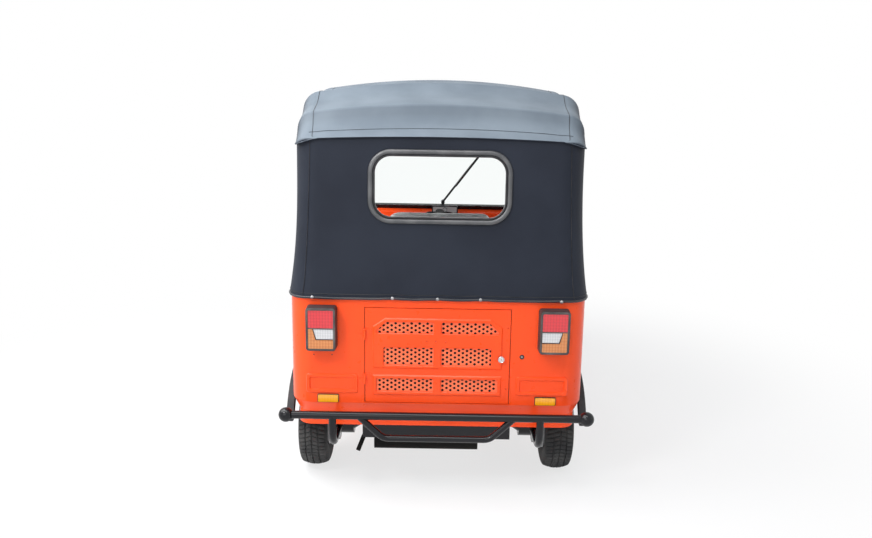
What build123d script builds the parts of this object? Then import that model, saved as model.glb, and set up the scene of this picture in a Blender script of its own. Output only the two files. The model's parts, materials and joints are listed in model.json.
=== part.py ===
from build123d import *
import os
from math import atan2, cos, degrees, hypot, radians, sin, sqrt, tan

# Auto rickshaw: three wheels, open-sided cabin, canvas hood, engine behind a rear door.
# X to the right seen from behind, Y forward, Z up, millimetres, floor at Z = 0.

# Clearances
fit = 0.3                      # clearance of pieces that seat on each other
running_gap = 0.4              # clearance of pieces that turn on each other

# Rear bumper
ball_radius = 31
bumper_stand_off = 80          # tube centre behind the tail panel
bumper_height = 401
bumper_radius = 17
guard_radius = 14
guard_half_top = 330
guard_half_bottom = 224
guard_height = 302
guard_bend = 60
stay_radius = 16
stay_height = 262
stay_bend = 70

# Wheels
wheelbase = 1985
rear_axle_ahead = 345          # rear axle ahead of the tail panel
front_axle_ahead = rear_axle_ahead + wheelbase
wheel_radius = 207
rear_tyre_half_width = 66
front_tyre_half_width = 52
tyre_bulge = 9                 # sidewall beyond the tread
bead_inset = 16
groove_width = 6
groove_depth = 6
bead_radius = 104
rim_lip_radius = 113
rim_wall = 9
hub_radius = 34
hub_half_length = 42
axle_radius = 11
drum_radius = 92
drum_inner_reach = 98          # drum face inboard of the wheel's middle
plate_thickness = 10
knuckle_reach = 158

# Rear body
body_half_width = 630
half_track = body_half_width - 68
bumper_half_width = body_half_width + 2
stay_x = body_half_width - 193
body_top = 889
crease_height = 427
tuck_height = 372
tuck_depth = 42
tuck_side = 26
body_corner = 110
wall = 14
quarter_start = 130
quarter_end = 690
arch_radius = 258
flare_band = 40
flare_low_reach = 31
flare_high_reach = 29
flare_top_height = 520

# Engine door
door_half_width = 306
door_bottom = 433
door_top = 848
door_gap = 3
door_skin = 4
door_depth = 18
door_flange = 16
pad_height = 5
pad_slope = 45
pad_half_width = 274
upper_pad_bottom = 585
upper_pad_top = 806
pad_clip_x = 52
pad_clip_z = 36
lower_pad_bottom = 466
lower_pad_top = 556
hinge_radius = 6
hinge_proud = 7
hinge_leaf = 24
hinge_leaf_thickness = 3
knuckle_length = 22
hinge_heights = [516, 713]
hinge_play = 0.5
lock_x = 270
lock_height = 634
lock_radius = 13
lock_proud = 12
lock_recess = 4            # ring of bare skin round the lock
trim_holes = [(-45, 706), (-7, 706), (35, 706), (296, 770), (295, 500)]
trim_hole_radius = 2.5

# Perforated grilles of the door, right half: inner x, outer x, bottom, top, clipped corner
grille_inner = 16
grilles = [
    (258, 740, 790, 40),
    (228, 599, 678, 0),
    (258, 482, 540, 0),
]
grille_thickness = 2.5
grille_overlap = 8
grille_corner = 7
grille_bevel = 2.5
hole_radius = 5
column_pitch = 16.8
hole_pitch = 19.4
hole_margin = 8

# Pressed frames beside the door
emboss_x = body_half_width - 183
emboss_height = 514
emboss_width = 221
emboss_tall = 85
emboss_rim = 17
emboss_proud = 4

# Tail lamps and reflectors
lamp_x = body_half_width - 144
lamp_height = 765
lamp_width = 128
lamp_tall = 188
lamp_depth = 52
lamp_draft = 2
lamp_border = 9
lamp_pocket = 12
lamp_split = 3
reflector_x = body_half_width - 166
reflector_height = 448
reflector_width = 88
reflector_tall = 34
reflector_depth = 9

# Hood: distance ahead of the tail, crown height, half width, shoulder radius, crown drop
canvas = 6
hood_stations = [
    (14, 1546, body_half_width - 24, 70, 24),
    (200, 1684, body_half_width - 16, 75, 35),
    (480, 1776, body_half_width + 2, 85, 45),
    (900, 1797, body_half_width + 2, 90, 45),
    (front_axle_ahead - 830, 1780, body_half_width - 30, 90, 42),
    (front_axle_ahead - 440, 1715, body_half_width - 65, 80, 40),
]
hood_plan_half_width = body_half_width + 20
hood_overrun = 100             # how far the hood's blank runs below its valance
hood_plan_corner = 140
valance_centre = 1540
valance_side = 1496
bow_radius = 11
rail_height = 1545
rail_inset = 14
rail_front_x = body_half_width - 110
rail_turn = 600
bow_foot_height = 830
leg_radius = 9
leg_ahead = 620
rear_leg_ahead = 135

# Rear curtain: height, distance of its back behind or ahead of the tail, half width, corner
hem_bottom = 880
hem_top = 900
curtain_waist = 1080
curtain_waist_ahead = 4
curtain_waist_half_width = body_half_width - 18
curtain_top_ahead = 21
curtain_top_half_width = body_half_width - 26
curtain_corner = 100
curtain_end = 600
window_drop = 61.5             # valance down to the top of the clear opening
window_width = 532
window_tall = 245
window_corner = 66
window_height = valance_centre - window_drop - window_tall / 2
seal_border = 30
seal_bite = 14
seal_proud = 9
seal_depth = 4
pane = 4

# Floor and underframe
floor_height = 330
floor_thickness = 20
floor_start = 640
floor_end = front_axle_ahead - 312
sill_width = 50
sill_drop = 45
rib_height = 6
rib_width = 60
rib_spacing = 190
rail_x = 300
rail_width = 44
rail_tall = 60
cross_tall = 60
cross_depth = 40
cross_start = 45
outrigger_start = 170
outrigger_depth = 34
outrigger_tall = 54
cross_half_width = body_half_width - 160
pivot_ahead = 700
pivot_radius = 20

# Engine, silencer and rear suspension
engine_start = 275
engine_end = 590
engine_half_width = 190
engine_bottom = 170
engine_top = 520
engine_round = 40
engine_bevel = 20
engine_mount_inset = 75
engine_mount_length = 40
silencer_left = -275
silencer_right = 185
silencer_bottom = 172
silencer_top = 298
silencer_depth = 150
silencer_round = 30
pipe_radius = 10
pipe_root = 40
pipe_out = 45
pipe_turn = 75
pipe_back = 25
pipe_bend = 30
arm_x = half_track - 152
arm_width = 46
arm_knuckle_radius = 60
arm_pivot_radius = 28
damper_ahead = 400
damper_radius = 36
damper_foot_radius = 18
shaft_radius = 15
boot_radius = 40
boot_length = 80

# Passenger seat
seat_plate_height = 580
seat_plate = 20
seat_plate_start = 116
seat_front = 640
cushion_height = 100
cushion_start = 214
cushion_end = 655
cushion_half_width = body_half_width - 70
backrest_start = 105
backrest_top = 1110
backrest_lean = 45
backrest_thickness = 90

# Driver's seat and partition
partition_ahead = front_axle_ahead - 1150
partition_thickness = 12
partition_top = 720
partition_half_width = body_half_width - 60
rail_top = 1010
rail_half_width = 330
rail_tube = 13
rail_bend = 70
driver_base_start = front_axle_ahead - 1030
driver_base_end = front_axle_ahead - 650
driver_base_half_width = 290
driver_base_top = 555
driver_cushion = 85
driver_back_bottom = 700
driver_back_top = 1078
driver_back_half_width = 296
driver_back_thickness = 62
driver_back_corner = 60

# Front cowl: height, front distance ahead of the tail, half width, corner radius
cowl_wall = 12
cowl_end = front_axle_ahead - 380
cowl_stations = [
    (300, front_axle_ahead - 80, body_half_width - 160, 290),
    (420, front_axle_ahead - 40, body_half_width - 160, 320),
    (560, front_axle_ahead + 38, body_half_width - 125, 340),
    (740, front_axle_ahead + 48, body_half_width - 95, 310),
    (900, front_axle_ahead - 42, body_half_width - 82, 230),
    (981, front_axle_ahead - 213, body_half_width - 78, 100),
]
cowl_low_rear = 345
cowl_low_front = 515
bulkhead_thickness = 14
bulkhead_top = 944
dash_depth = 57
dash_back = 971
cluster_left = -52
cluster_right = 118
cluster_bottom = 966
cluster_top = 1018
cluster_depth = 27
headlamp_x = 150
headlamp_height = 735
headlamp_radius = 82
headlamp_front = front_axle_ahead + 68
headlamp_back = front_axle_ahead - 40
indicator_x = 330
indicator_height = 640
indicator_width = 70
indicator_tall = 46

# Windscreen
screen_base_ahead = front_axle_ahead - 243
screen_base_height = 990
screen_lean = 15.6
screen_rise = 732
screen_side_rise = 682
screen_half_base = body_half_width - 95
screen_half_top = body_half_width - 82
screen_border = 24
screen_thickness = 30
screen_corner = 45
glass = 6
wiper_x = 20
wiper_swing = 35
wiper_arm = 330
wiper_blade = 380

# Steering and front wheel
rake = 27
axis_ahead_of_tail = front_axle_ahead - 46   # steering axis at axle height
column_radius = 22
crown_start = 268
column_end = 850
head_start = 430
head_end = 640
head_wall = 12
fork_x = -94
fork_width = 28
fork_tip_radius = 26
fork_pivot_ahead = front_axle_ahead - 105
fork_pivot_height = 235
link_x = -136
link_width = 26
link_radius = 30
front_spring_radius = 24
front_rod_radius = 12
crown_depth = 34
crown_round = 22
spacer_radius = 18
mudguard_radius = 259
mudguard_wall = 4
mudguard_half_width = 66
mudguard_skirt = 45
mudguard_slope = 20
mudguard_drop = 14
mudguard_front = -5
mudguard_rear = 160
boss_radius = 26
bar_radius = 11
bar_along = 872
bar_rise_half = 70
bar_bend_half = 165
bar_half_width = 300
bar_pull_back = 100
bar_sweep = 18
bar_bend = 40
grip_radius = 16
grip_length = 110
lever_radius = 5
lever_gap = 40

# Worked out from the sizes above
overall_length = ball_radius + bumper_stand_off + front_axle_ahead + mudguard_radius
tail_y = -overall_length / 2 + bumper_stand_off + ball_radius
rear_axle_y = tail_y + rear_axle_ahead
front_axle_y = rear_axle_y + wheelbase
inner_half_width = body_half_width - wall
slant = radians(rake)
along_axis = Vector(0, -sin(slant), cos(slant))
ahead_axis = Vector(0, cos(slant), sin(slant))
axis_foot = Vector(0, tail_y + axis_ahead_of_tail, wheel_radius)
frame_top = floor_height - floor_thickness
lip_height = frame_top + fit
floor_half_width = inner_half_width - tuck_side - fit
os.makedirs("parts", exist_ok=True)


def ahead(distance):
    return tail_y + distance


def upright(y):
    return Plane.XZ.offset(-y)


def lengthwise(x):
    return Plane.YZ.offset(x)


def level(z):
    return Plane.XY.offset(z)


def on_steering(along, forward=0, side=0):
    return axis_foot + along_axis * along + ahead_axis * forward + Vector(side, 0, 0)


def across_steering(along):
    return Plane(origin=on_steering(along), x_dir=(1, 0, 0), z_dir=along_axis)


def save(piece, name):
    piece.part.label = name
    export_step(piece.part, f"parts/{name}.step")


def tube(points, radius, bend):
    with BuildPart() as run:
        with BuildLine() as route:
            if len(points) > 2:
                FilletPolyline(*points, radius=bend)
            else:
                Line(*points)
        with BuildSketch(Plane(origin=route.line @ 0, z_dir=route.line % 0)):
            Circle(radius)
        sweep()
    return run.part


def u_wall(height, face, end, half_width, corner, thickness):
    # A wall that is U-shaped seen from above, its rounded closed side at the face.
    turn = 1 if end > face else -1
    with BuildSketch(level(height)) as ring:
        with BuildLine():
            for inset in (0, thickness):
                x = half_width - inset
                y = face + turn * inset
                r = corner - inset
                middle = r * (1 - sqrt(0.5))
                Line((-x, end), (-x, y + turn * r))
                ThreePointArc((-x, y + turn * r), (-x + middle, y + turn * middle), (-x + r, y))
                Line((-x + r, y), (x - r, y))
                ThreePointArc((x - r, y), (x - middle, y + turn * middle), (x, y + turn * r))
                Line((x, y + turn * r), (x, end))
            Line((-half_width, end), (-half_width + thickness, end))
            Line((half_width, end), (half_width - thickness, end))
        make_face()
    return ring.sketch


# Wheels, turning on axles along X
def wheel(name, centre_x, axle_y, outward, tyre_half_width):
    centre = (centre_x, axle_y, wheel_radius)
    tread_half_width = tyre_half_width - tyre_bulge
    bead_half_width = tyre_half_width - bead_inset
    section = Plane(origin=centre, x_dir=(1, 0, 0), z_dir=(0, -1, 0))
    spindle = Axis(centre, (1, 0, 0))
    belly_radius = bead_radius + 0.45 * (wheel_radius - bead_radius)
    shoulder_radius = wheel_radius - 12
    with BuildPart() as tyre:
        with BuildSketch(section):
            with BuildLine():
                Polyline(
                    (-bead_half_width, bead_radius),
                    (-tyre_half_width, belly_radius),
                    (-tread_half_width - 3, shoulder_radius),
                    (-tread_half_width, wheel_radius),
                    (tread_half_width, wheel_radius),
                    (tread_half_width + 3, shoulder_radius),
                    (tyre_half_width, belly_radius),
                    (bead_half_width, bead_radius),
                    close=True,
                )
            make_face()
        revolve(axis=spindle)
        with BuildSketch(section):
            with Locations(*[(x, wheel_radius) for x in (-tread_half_width / 2, 0, tread_half_width / 2)]):
                Rectangle(groove_width, 2 * groove_depth)
        revolve(axis=spindle, mode=Mode.SUBTRACT)
    save(tyre, f"{name}_tyre")
    rim_radius = bead_radius - fit
    lip = tyre_half_width - 8
    dish = outward * 8
    with BuildPart() as rim:
        with BuildSketch(section):
            with BuildLine():
                Polyline(
                    (-lip - 4, rim_radius - rim_wall),
                    (-lip - 4, rim_lip_radius),
                    (-lip, rim_lip_radius),
                    (-lip, rim_radius),
                    (lip, rim_radius),
                    (lip, rim_lip_radius),
                    (lip + 4, rim_lip_radius),
                    (lip + 4, rim_radius - rim_wall),
                    close=True,
                )
            make_face()
        revolve(axis=spindle)
        with BuildSketch(lengthwise(centre_x + dish - 4)):
            with Locations((axle_y, wheel_radius)):
                Circle(rim_radius - rim_wall / 2)
                with PolarLocations(0.72 * rim_radius, 6):
                    SlotCenterToCenter(14, 15, rotation=90, mode=Mode.SUBTRACT)
        extrude(amount=8)
        with BuildSketch(lengthwise(centre_x)):
            with Locations((axle_y, wheel_radius)):
                Circle(hub_radius)
        extrude(amount=hub_half_length, both=True)
        if name != "front":
            with BuildSketch(lengthwise(centre_x - outward * drum_inner_reach)):
                with Locations((axle_y, wheel_radius)):
                    Circle(drum_radius)
            extrude(amount=outward * (drum_inner_reach - 40))
        with BuildSketch(lengthwise(centre_x)):
            with Locations((axle_y, wheel_radius)):
                Circle(axle_radius + running_gap)
        extrude(amount=2 * knuckle_reach, both=True, mode=Mode.SUBTRACT)
    save(rim, f"{name}_rim")


wheel("front", 0, front_axle_y, -1, front_tyre_half_width)
wheel("rear_left", -half_track, rear_axle_y, -1, rear_tyre_half_width)
wheel("rear_right", half_track, rear_axle_y, 1, rear_tyre_half_width)


# Tail panel with its rounded corners, tucked under at the bottom
def arch_cut(reach):
    with BuildPart() as arch:
        with BuildSketch(lengthwise(-reach)):
            with Locations((rear_axle_y, wheel_radius)):
                Circle(arch_radius)
        extrude(amount=2 * reach)
    return arch.part


tail_levels = [
    (lip_height, tuck_depth, tuck_side),
    (tuck_height, tuck_depth, tuck_side),
    (crease_height, 0, 0),
    (body_top, 0, 0),
]
side_void = body_half_width - tuck_side - wall - 2
with BuildPart() as wheel_arch:
    add(arch_cut(body_half_width + wall))
    Box(2 * side_void, overall_length, 2 * body_top, mode=Mode.SUBTRACT)
with BuildPart() as tail_panel:
    loft(
        sections=[
            u_wall(z, ahead(depth), ahead(quarter_start), body_half_width - side, body_corner - depth, wall)
            for z, depth, side in tail_levels
        ],
        ruled=True,
    )
    with BuildSketch(upright(ahead(-wall))):
        with Locations((0, (door_bottom + door_top) / 2)):
            Rectangle(2 * (door_half_width + door_gap), door_top - door_bottom + 2 * door_gap)
    extrude(amount=-3 * wall, mode=Mode.SUBTRACT)
    with BuildSketch(upright(tail_y)):
        with Locations((-emboss_x, emboss_height), (emboss_x, emboss_height)):
            RectangleRounded(emboss_width, emboss_tall, 12)
            RectangleRounded(
                emboss_width - 2 * emboss_rim, emboss_tall - 2 * emboss_rim, 6, mode=Mode.SUBTRACT
            )
    extrude(amount=emboss_proud, taper=35)
    hinge_x = -door_half_width - door_gap / 2
    for low in hinge_heights:
        with BuildSketch(level(low)):
            with Locations((hinge_x, tail_y - hinge_proud)):
                Circle(hinge_radius)
            with Locations((hinge_x - door_gap / 2 - hinge_leaf / 2, tail_y - hinge_leaf_thickness / 2)):
                Rectangle(hinge_leaf, hinge_leaf_thickness)
            with Locations((hinge_x - hinge_radius / 2 - 1, tail_y - hinge_proud / 2)):
                Rectangle(hinge_radius, hinge_proud)
        extrude(amount=knuckle_length)
    add(wheel_arch.part, mode=Mode.SUBTRACT)
save(tail_panel, "tail_panel")

# Quarter panels beside the passenger seat
for side, sign in (("left", -1), ("right", 1)):
    with BuildPart() as quarter:
        with BuildSketch(upright(ahead(quarter_start))):
            with BuildLine():
                outline = [
                    (body_half_width, body_top),
                    (body_half_width, crease_height),
                    (body_half_width - tuck_side, tuck_height),
                    (body_half_width - tuck_side, lip_height),
                    (body_half_width - tuck_side - wall, lip_height),
                    (body_half_width - tuck_side - wall, tuck_height),
                    (body_half_width - wall, crease_height),
                    (body_half_width - wall, body_top),
                ]
                Polyline(*[(sign * x, z) for x, z in outline], close=True)
            make_face()
        extrude(amount=quarter_start - quarter_end)
        front_corner = quarter.edges().filter_by(Axis.X).group_by(Axis.Y)[-1].sort_by(Axis.Z)[-1:]
        fillet(front_corner, radius=body_corner)
        add(wheel_arch.part, mode=Mode.SUBTRACT)
    save(quarter, f"quarter_{side}")

# Rubber flares along the rear wheel arches, thicker towards their lower ends
for side, sign in (("left", -1), ("right", 1)):
    with BuildPart() as flare:
        with BuildSketch(lengthwise(sign * body_half_width)):
            with Locations((rear_axle_y, wheel_radius)):
                Circle(arch_radius + flare_band)
                Circle(arch_radius, mode=Mode.SUBTRACT)
            with Locations((rear_axle_y, 0)):
                Rectangle(overall_length, 2 * lip_height, mode=Mode.SUBTRACT)
        extrude(amount=sign * flare_low_reach)
        rise = flare_top_height - lip_height
        lean = flare_low_reach - flare_high_reach
        face_origin = (sign * (body_half_width + flare_low_reach), rear_axle_y, lip_height)
        face_normal = (sign * rise, 0, lean)
        split(bisect_by=Plane(origin=face_origin, z_dir=face_normal), keep=Keep.BOTTOM)
    save(flare, f"arch_flare_{side}")

# Engine door: pressed skin with a folded rim, two raised fields and six grille openings
door_middle = (door_bottom + door_top) / 2


def grille_outline(outer, bottom, top, clip, sign, grow=0):
    points = [
        (grille_inner - grow, bottom - grow),
        (outer + grow, bottom - grow),
        (outer + grow, top + grow - clip),
        (outer + grow - clip, top + grow),
        (grille_inner - grow, top + grow),
    ]
    if clip == 0:
        points.pop(2)
    return [(sign * x, z) for x, z in points]


with BuildPart() as engine_door:
    with BuildSketch(upright(tail_y)):
        with Locations((0, door_middle)):
            Rectangle(2 * door_half_width, door_top - door_bottom)
    extrude(amount=-door_depth)
    with BuildSketch(upright(ahead(door_skin))):
        with Locations((0, door_middle)):
            Rectangle(2 * (door_half_width - door_flange), door_top - door_bottom - 2 * door_flange)
    extrude(amount=-door_depth, mode=Mode.SUBTRACT)
    with BuildSketch(upright(tail_y)):
        with BuildLine():
            Polyline(
                (-pad_half_width, upper_pad_bottom),
                (pad_half_width, upper_pad_bottom),
                (pad_half_width, upper_pad_top - pad_clip_z),
                (pad_half_width - pad_clip_x, upper_pad_top),
                (pad_clip_x - pad_half_width, upper_pad_top),
                (-pad_half_width, upper_pad_top - pad_clip_z),
                close=True,
            )
        make_face()
        with Locations((0, (lower_pad_bottom + lower_pad_top) / 2)):
            Rectangle(2 * pad_half_width, lower_pad_top - lower_pad_bottom)
    extrude(amount=pad_height, taper=pad_slope)
    for outer, bottom, top, clip in grilles:
        for sign in (-1, 1):
            with BuildSketch(upright(ahead(-2 * pad_height))):
                with BuildLine():
                    Polyline(*grille_outline(outer, bottom, top, clip, sign), close=True)
                opening = make_face()
                fillet(opening.vertices(), radius=grille_corner)
            extrude(amount=-2 * door_depth, mode=Mode.SUBTRACT)
            chamfer(engine_door.edges(Select.LAST).group_by(Axis.Y)[0], length=grille_bevel)
    with BuildSketch(upright(tail_y)):
        with Locations((lock_x, lock_height)):
            Circle(lock_radius + lock_recess)
    extrude(amount=2 * pad_height, mode=Mode.SUBTRACT)
    with BuildSketch(upright(ahead(-2 * pad_height))):
        with Locations(*trim_holes):
            Circle(trim_hole_radius)
    extrude(amount=-2 * door_depth, mode=Mode.SUBTRACT)
    for low in hinge_heights:
        with BuildSketch(level(low + knuckle_length + hinge_play)):
            with Locations((hinge_x, tail_y - hinge_proud)):
                Circle(hinge_radius)
            with Locations((hinge_x + door_gap / 2 + hinge_leaf / 2, tail_y - hinge_leaf_thickness / 2)):
                Rectangle(hinge_leaf, hinge_leaf_thickness)
            with Locations((hinge_x + hinge_radius / 2 + 1, tail_y - hinge_proud / 2)):
                Rectangle(hinge_radius, hinge_proud)
        extrude(amount=knuckle_length)
save(engine_door, "engine_door")

with BuildPart() as door_lock:
    with BuildSketch(upright(ahead(-fit))):
        with Locations((lock_x, lock_height)):
            Circle(lock_radius)
    extrude(amount=lock_proud)
    chamfer(door_lock.faces().sort_by(Axis.Y)[0].edges(), length=3)
save(door_lock, "door_lock")

with BuildPart() as door_grilles:
    for outer, bottom, top, clip in grilles:
        for sign in (-1, 1):
            columns = int((outer - grille_inner - 2 * hole_margin) / column_pitch) + 1
            rows = int((top - bottom - 2 * hole_margin) / hole_pitch) + 1
            middle_x = (grille_inner + outer) / 2
            middle_z = (bottom + top) / 2
            holes = []
            for column in range(columns):
                shift = column % 2
                for row in range(rows - shift):
                    x = middle_x + (column - (columns - 1) / 2) * column_pitch
                    z = middle_z + (row + shift / 2 - (rows - 1) / 2) * hole_pitch
                    if clip == 0 or (outer - x) + (top - z) > clip + hole_margin * sqrt(2):
                        holes.append((sign * x, z))
            with BuildSketch(upright(ahead(door_skin + grille_thickness))):
                with BuildLine():
                    outline = grille_outline(outer, bottom, top, clip, sign, grille_overlap)
                    Polyline(*outline, close=True)
                make_face()
                with Locations(*holes):
                    RegularPolygon(hole_radius, 6, mode=Mode.SUBTRACT)
            extrude(amount=grille_thickness)
save(door_grilles, "door_grilles")

# Tail lamps: drafted housings with lenses let into their faces
pocket_half_width = lamp_width / 2 - lamp_depth * tan(radians(lamp_draft)) - lamp_border
pocket_half_tall = lamp_tall / 2 - lamp_depth * tan(radians(lamp_draft)) - lamp_border
with BuildPart() as lamp_housings:
    with BuildSketch(upright(tail_y)):
        with Locations((-lamp_x, lamp_height), (lamp_x, lamp_height)):
            RectangleRounded(lamp_width, lamp_tall, 14)
    extrude(amount=lamp_depth, taper=lamp_draft)
    with BuildSketch(upright(ahead(-lamp_depth))):
        with Locations((-lamp_x, lamp_height), (lamp_x, lamp_height)):
            Rectangle(2 * pocket_half_width, 2 * pocket_half_tall)
    extrude(amount=-lamp_pocket, mode=Mode.SUBTRACT)
save(lamp_housings, "tail_lamp_housings")

lens_half_width = pocket_half_width - fit
lens_half_tall = pocket_half_tall - fit
clear_depth = 0.5 * lens_half_tall
clear_top = 0.58 * lens_half_width
clear_bottom = 0.35 * lens_half_width
lens_outlines = [
    ("tail_lamp_red", [
        (-lens_half_width, 2 * lamp_split),
        (lens_half_width, 2 * lamp_split),
        (lens_half_width, lens_half_tall),
        (-lens_half_width, lens_half_tall),
    ]),
    ("tail_lamp_clear", [
        (-lens_half_width, lamp_split),
        (clear_top, lamp_split),
        (clear_bottom, -clear_depth),
        (-lens_half_width, -clear_depth),
    ]),
    ("tail_lamp_amber", [
        (clear_top + lamp_split, lamp_split),
        (lens_half_width, lamp_split),
        (lens_half_width, -lens_half_tall),
        (-lens_half_width, -lens_half_tall),
        (-lens_half_width, -clear_depth - lamp_split),
        (clear_bottom + lamp_split, -clear_depth - lamp_split),
    ]),
]
for lens_name, outline in lens_outlines:
    with BuildPart() as lenses:
        for sign in (-1, 1):
            with BuildSketch(upright(ahead(lamp_pocket - lamp_depth))):
                with BuildLine():
                    Polyline(*[(sign * (lamp_x + x), lamp_height + z) for x, z in outline], close=True)
                make_face()
            extrude(amount=lamp_pocket + 2)
    save(lenses, lens_name)

with BuildPart() as reflectors:
    with BuildSketch(upright(tail_y)):
        with Locations((-reflector_x, reflector_height), (reflector_x, reflector_height)):
            RectangleRounded(reflector_width, reflector_tall, 5)
    extrude(amount=reflector_depth, taper=8)
save(reflectors, "rear_reflectors")

# Rear bumper: a cross tube with ball ends, a guard loop below and two stays to the frame
bumper_y = ahead(-bumper_stand_off)
guard_loop = tube(
    [
        (-guard_half_top, bumper_y, bumper_height),
        (-guard_half_bottom, bumper_y, guard_height),
        (guard_half_bottom, bumper_y, guard_height),
        (guard_half_top, bumper_y, bumper_height),
    ],
    guard_radius,
    guard_bend,
)
stays = [
    tube(
        [
            (x, bumper_y, bumper_height),
            (x, bumper_y, stay_height),
            (x, ahead(outrigger_start), stay_height),
        ],
        stay_radius,
        stay_bend,
    )
    for x in (-stay_x, stay_x)
]
with BuildPart() as bumper:
    with BuildSketch(lengthwise(-bumper_half_width)):
        with Locations((bumper_y, bumper_height)):
            Circle(bumper_radius)
    extrude(amount=2 * bumper_half_width)
    ball_places = [(x, bumper_y, bumper_height) for x in (-bumper_half_width, bumper_half_width)]
    with Locations(*ball_places):
        Sphere(ball_radius)
    add(guard_loop)
    for stay in stays:
        add(stay)
save(bumper, "rear_bumper")

# Underframe: two rails, a rear cross-member, outriggers for the stays and the trailing-arm pivot tube
with BuildPart() as underframe:
    for x in (-rail_x, rail_x):
        with BuildSketch(upright(ahead(cross_start))):
            with Locations((x, frame_top - rail_tall / 2)):
                Rectangle(rail_width, rail_tall)
        extrude(amount=cross_start - floor_end)
    with BuildSketch(upright(ahead(cross_start))):
        with Locations((0, frame_top - cross_tall / 2)):
            Rectangle(2 * rail_x + rail_width, cross_tall)
    extrude(amount=-cross_depth)
    outrigger_end = stay_x + 1.5 * stay_radius
    for sign in (-1, 1):
        with BuildSketch(upright(ahead(outrigger_start))):
            with Locations((sign * (rail_x + outrigger_end) / 2, frame_top - outrigger_tall / 2)):
                Rectangle(outrigger_end - rail_x, outrigger_tall)
        extrude(amount=-outrigger_depth)
    pivot_z = frame_top - rail_tall / 2
    with BuildSketch(lengthwise(-cross_half_width)):
        with Locations((ahead(pivot_ahead), pivot_z)):
            Circle(pivot_radius)
    extrude(amount=2 * cross_half_width)
save(underframe, "underframe")

# Floor with pressed ribs and side sills, narrowing towards the front
front_half_width = cowl_stations[0][2] - cowl_wall - fit
floor_outline = [
    (floor_half_width, ahead(floor_start)),
    (floor_half_width, ahead(partition_ahead)),
    (front_half_width, ahead(cowl_end - cowl_wall)),
    (front_half_width, ahead(cowl_end + cowl_wall)),
    (front_half_width - 20, ahead(floor_end)),
]
with BuildPart() as floor_pan:
    with BuildSketch(level(frame_top)):
        with BuildLine():
            mirrored = [(-x, y) for x, y in reversed(floor_outline)]
            Polyline(*floor_outline, *mirrored, close=True)
        make_face()
    extrude(amount=floor_thickness)
    for sign in (-1, 1):
        with BuildSketch(level(frame_top - sill_drop)):
            with BuildLine():
                outside = [(sign * x, y) for x, y in floor_outline]
                inside = [(sign * (x - sill_width), y) for x, y in reversed(floor_outline)]
                Polyline(*outside, *inside, close=True)
            make_face()
        extrude(amount=sill_drop + floor_thickness)
    rib_length = partition_ahead - seat_front - 120
    for start in (seat_front + 60, driver_base_end + 60):
        length = rib_length if start < partition_ahead else floor_end - start - 60
        for place in (-1, 0, 1):
            with BuildSketch(level(floor_height)):
                with Locations((place * rib_spacing, ahead(start + length / 2))):
                    SlotOverall(length, rib_width, rotation=90)
            extrude(amount=rib_height, taper=30)
save(floor_pan, "floor_pan")

# Engine block hung between the rails, silencer and tailpipe behind it
with BuildPart() as engine:
    with BuildSketch(level(engine_bottom)):
        with Locations((0, ahead((engine_start + engine_end) / 2))):
            RectangleRounded(2 * engine_half_width, engine_end - engine_start, engine_round)
    extrude(amount=engine_top - engine_bottom)
    chamfer(engine.faces().sort_by(Axis.Z)[-1].edges(), length=engine_bevel)
    mount_half = rail_x - rail_width / 2 - fit
    for y in (ahead(engine_start + engine_mount_inset), ahead(engine_end - engine_mount_inset)):
        with Locations((0, y, frame_top - rail_tall / 2)):
            Box(2 * mount_half, engine_mount_length, rail_tall * 0.6)
save(engine, "engine")

silencer_start = cross_start + cross_depth + fit
with BuildPart() as silencer:
    with BuildSketch(lengthwise(silencer_left)):
        with Locations((ahead(silencer_start + silencer_depth / 2), (silencer_bottom + silencer_top) / 2)):
            RectangleRounded(silencer_depth, silencer_top - silencer_bottom, silencer_round)
    extrude(amount=silencer_right - silencer_left)
    pipe_y = ahead(silencer_start + 0.4 * silencer_depth)
    pipe_z = (silencer_bottom + silencer_top) / 2 - 6
    add(
        tube(
            [
                (silencer_left + pipe_root, pipe_y, pipe_z),
                (silencer_left - pipe_out, pipe_y, pipe_z),
                (silencer_left - pipe_turn, pipe_y - pipe_back, pipe_z - pipe_turn),
            ],
            pipe_radius,
            pipe_bend,
        )
    )
save(silencer, "silencer")

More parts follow.
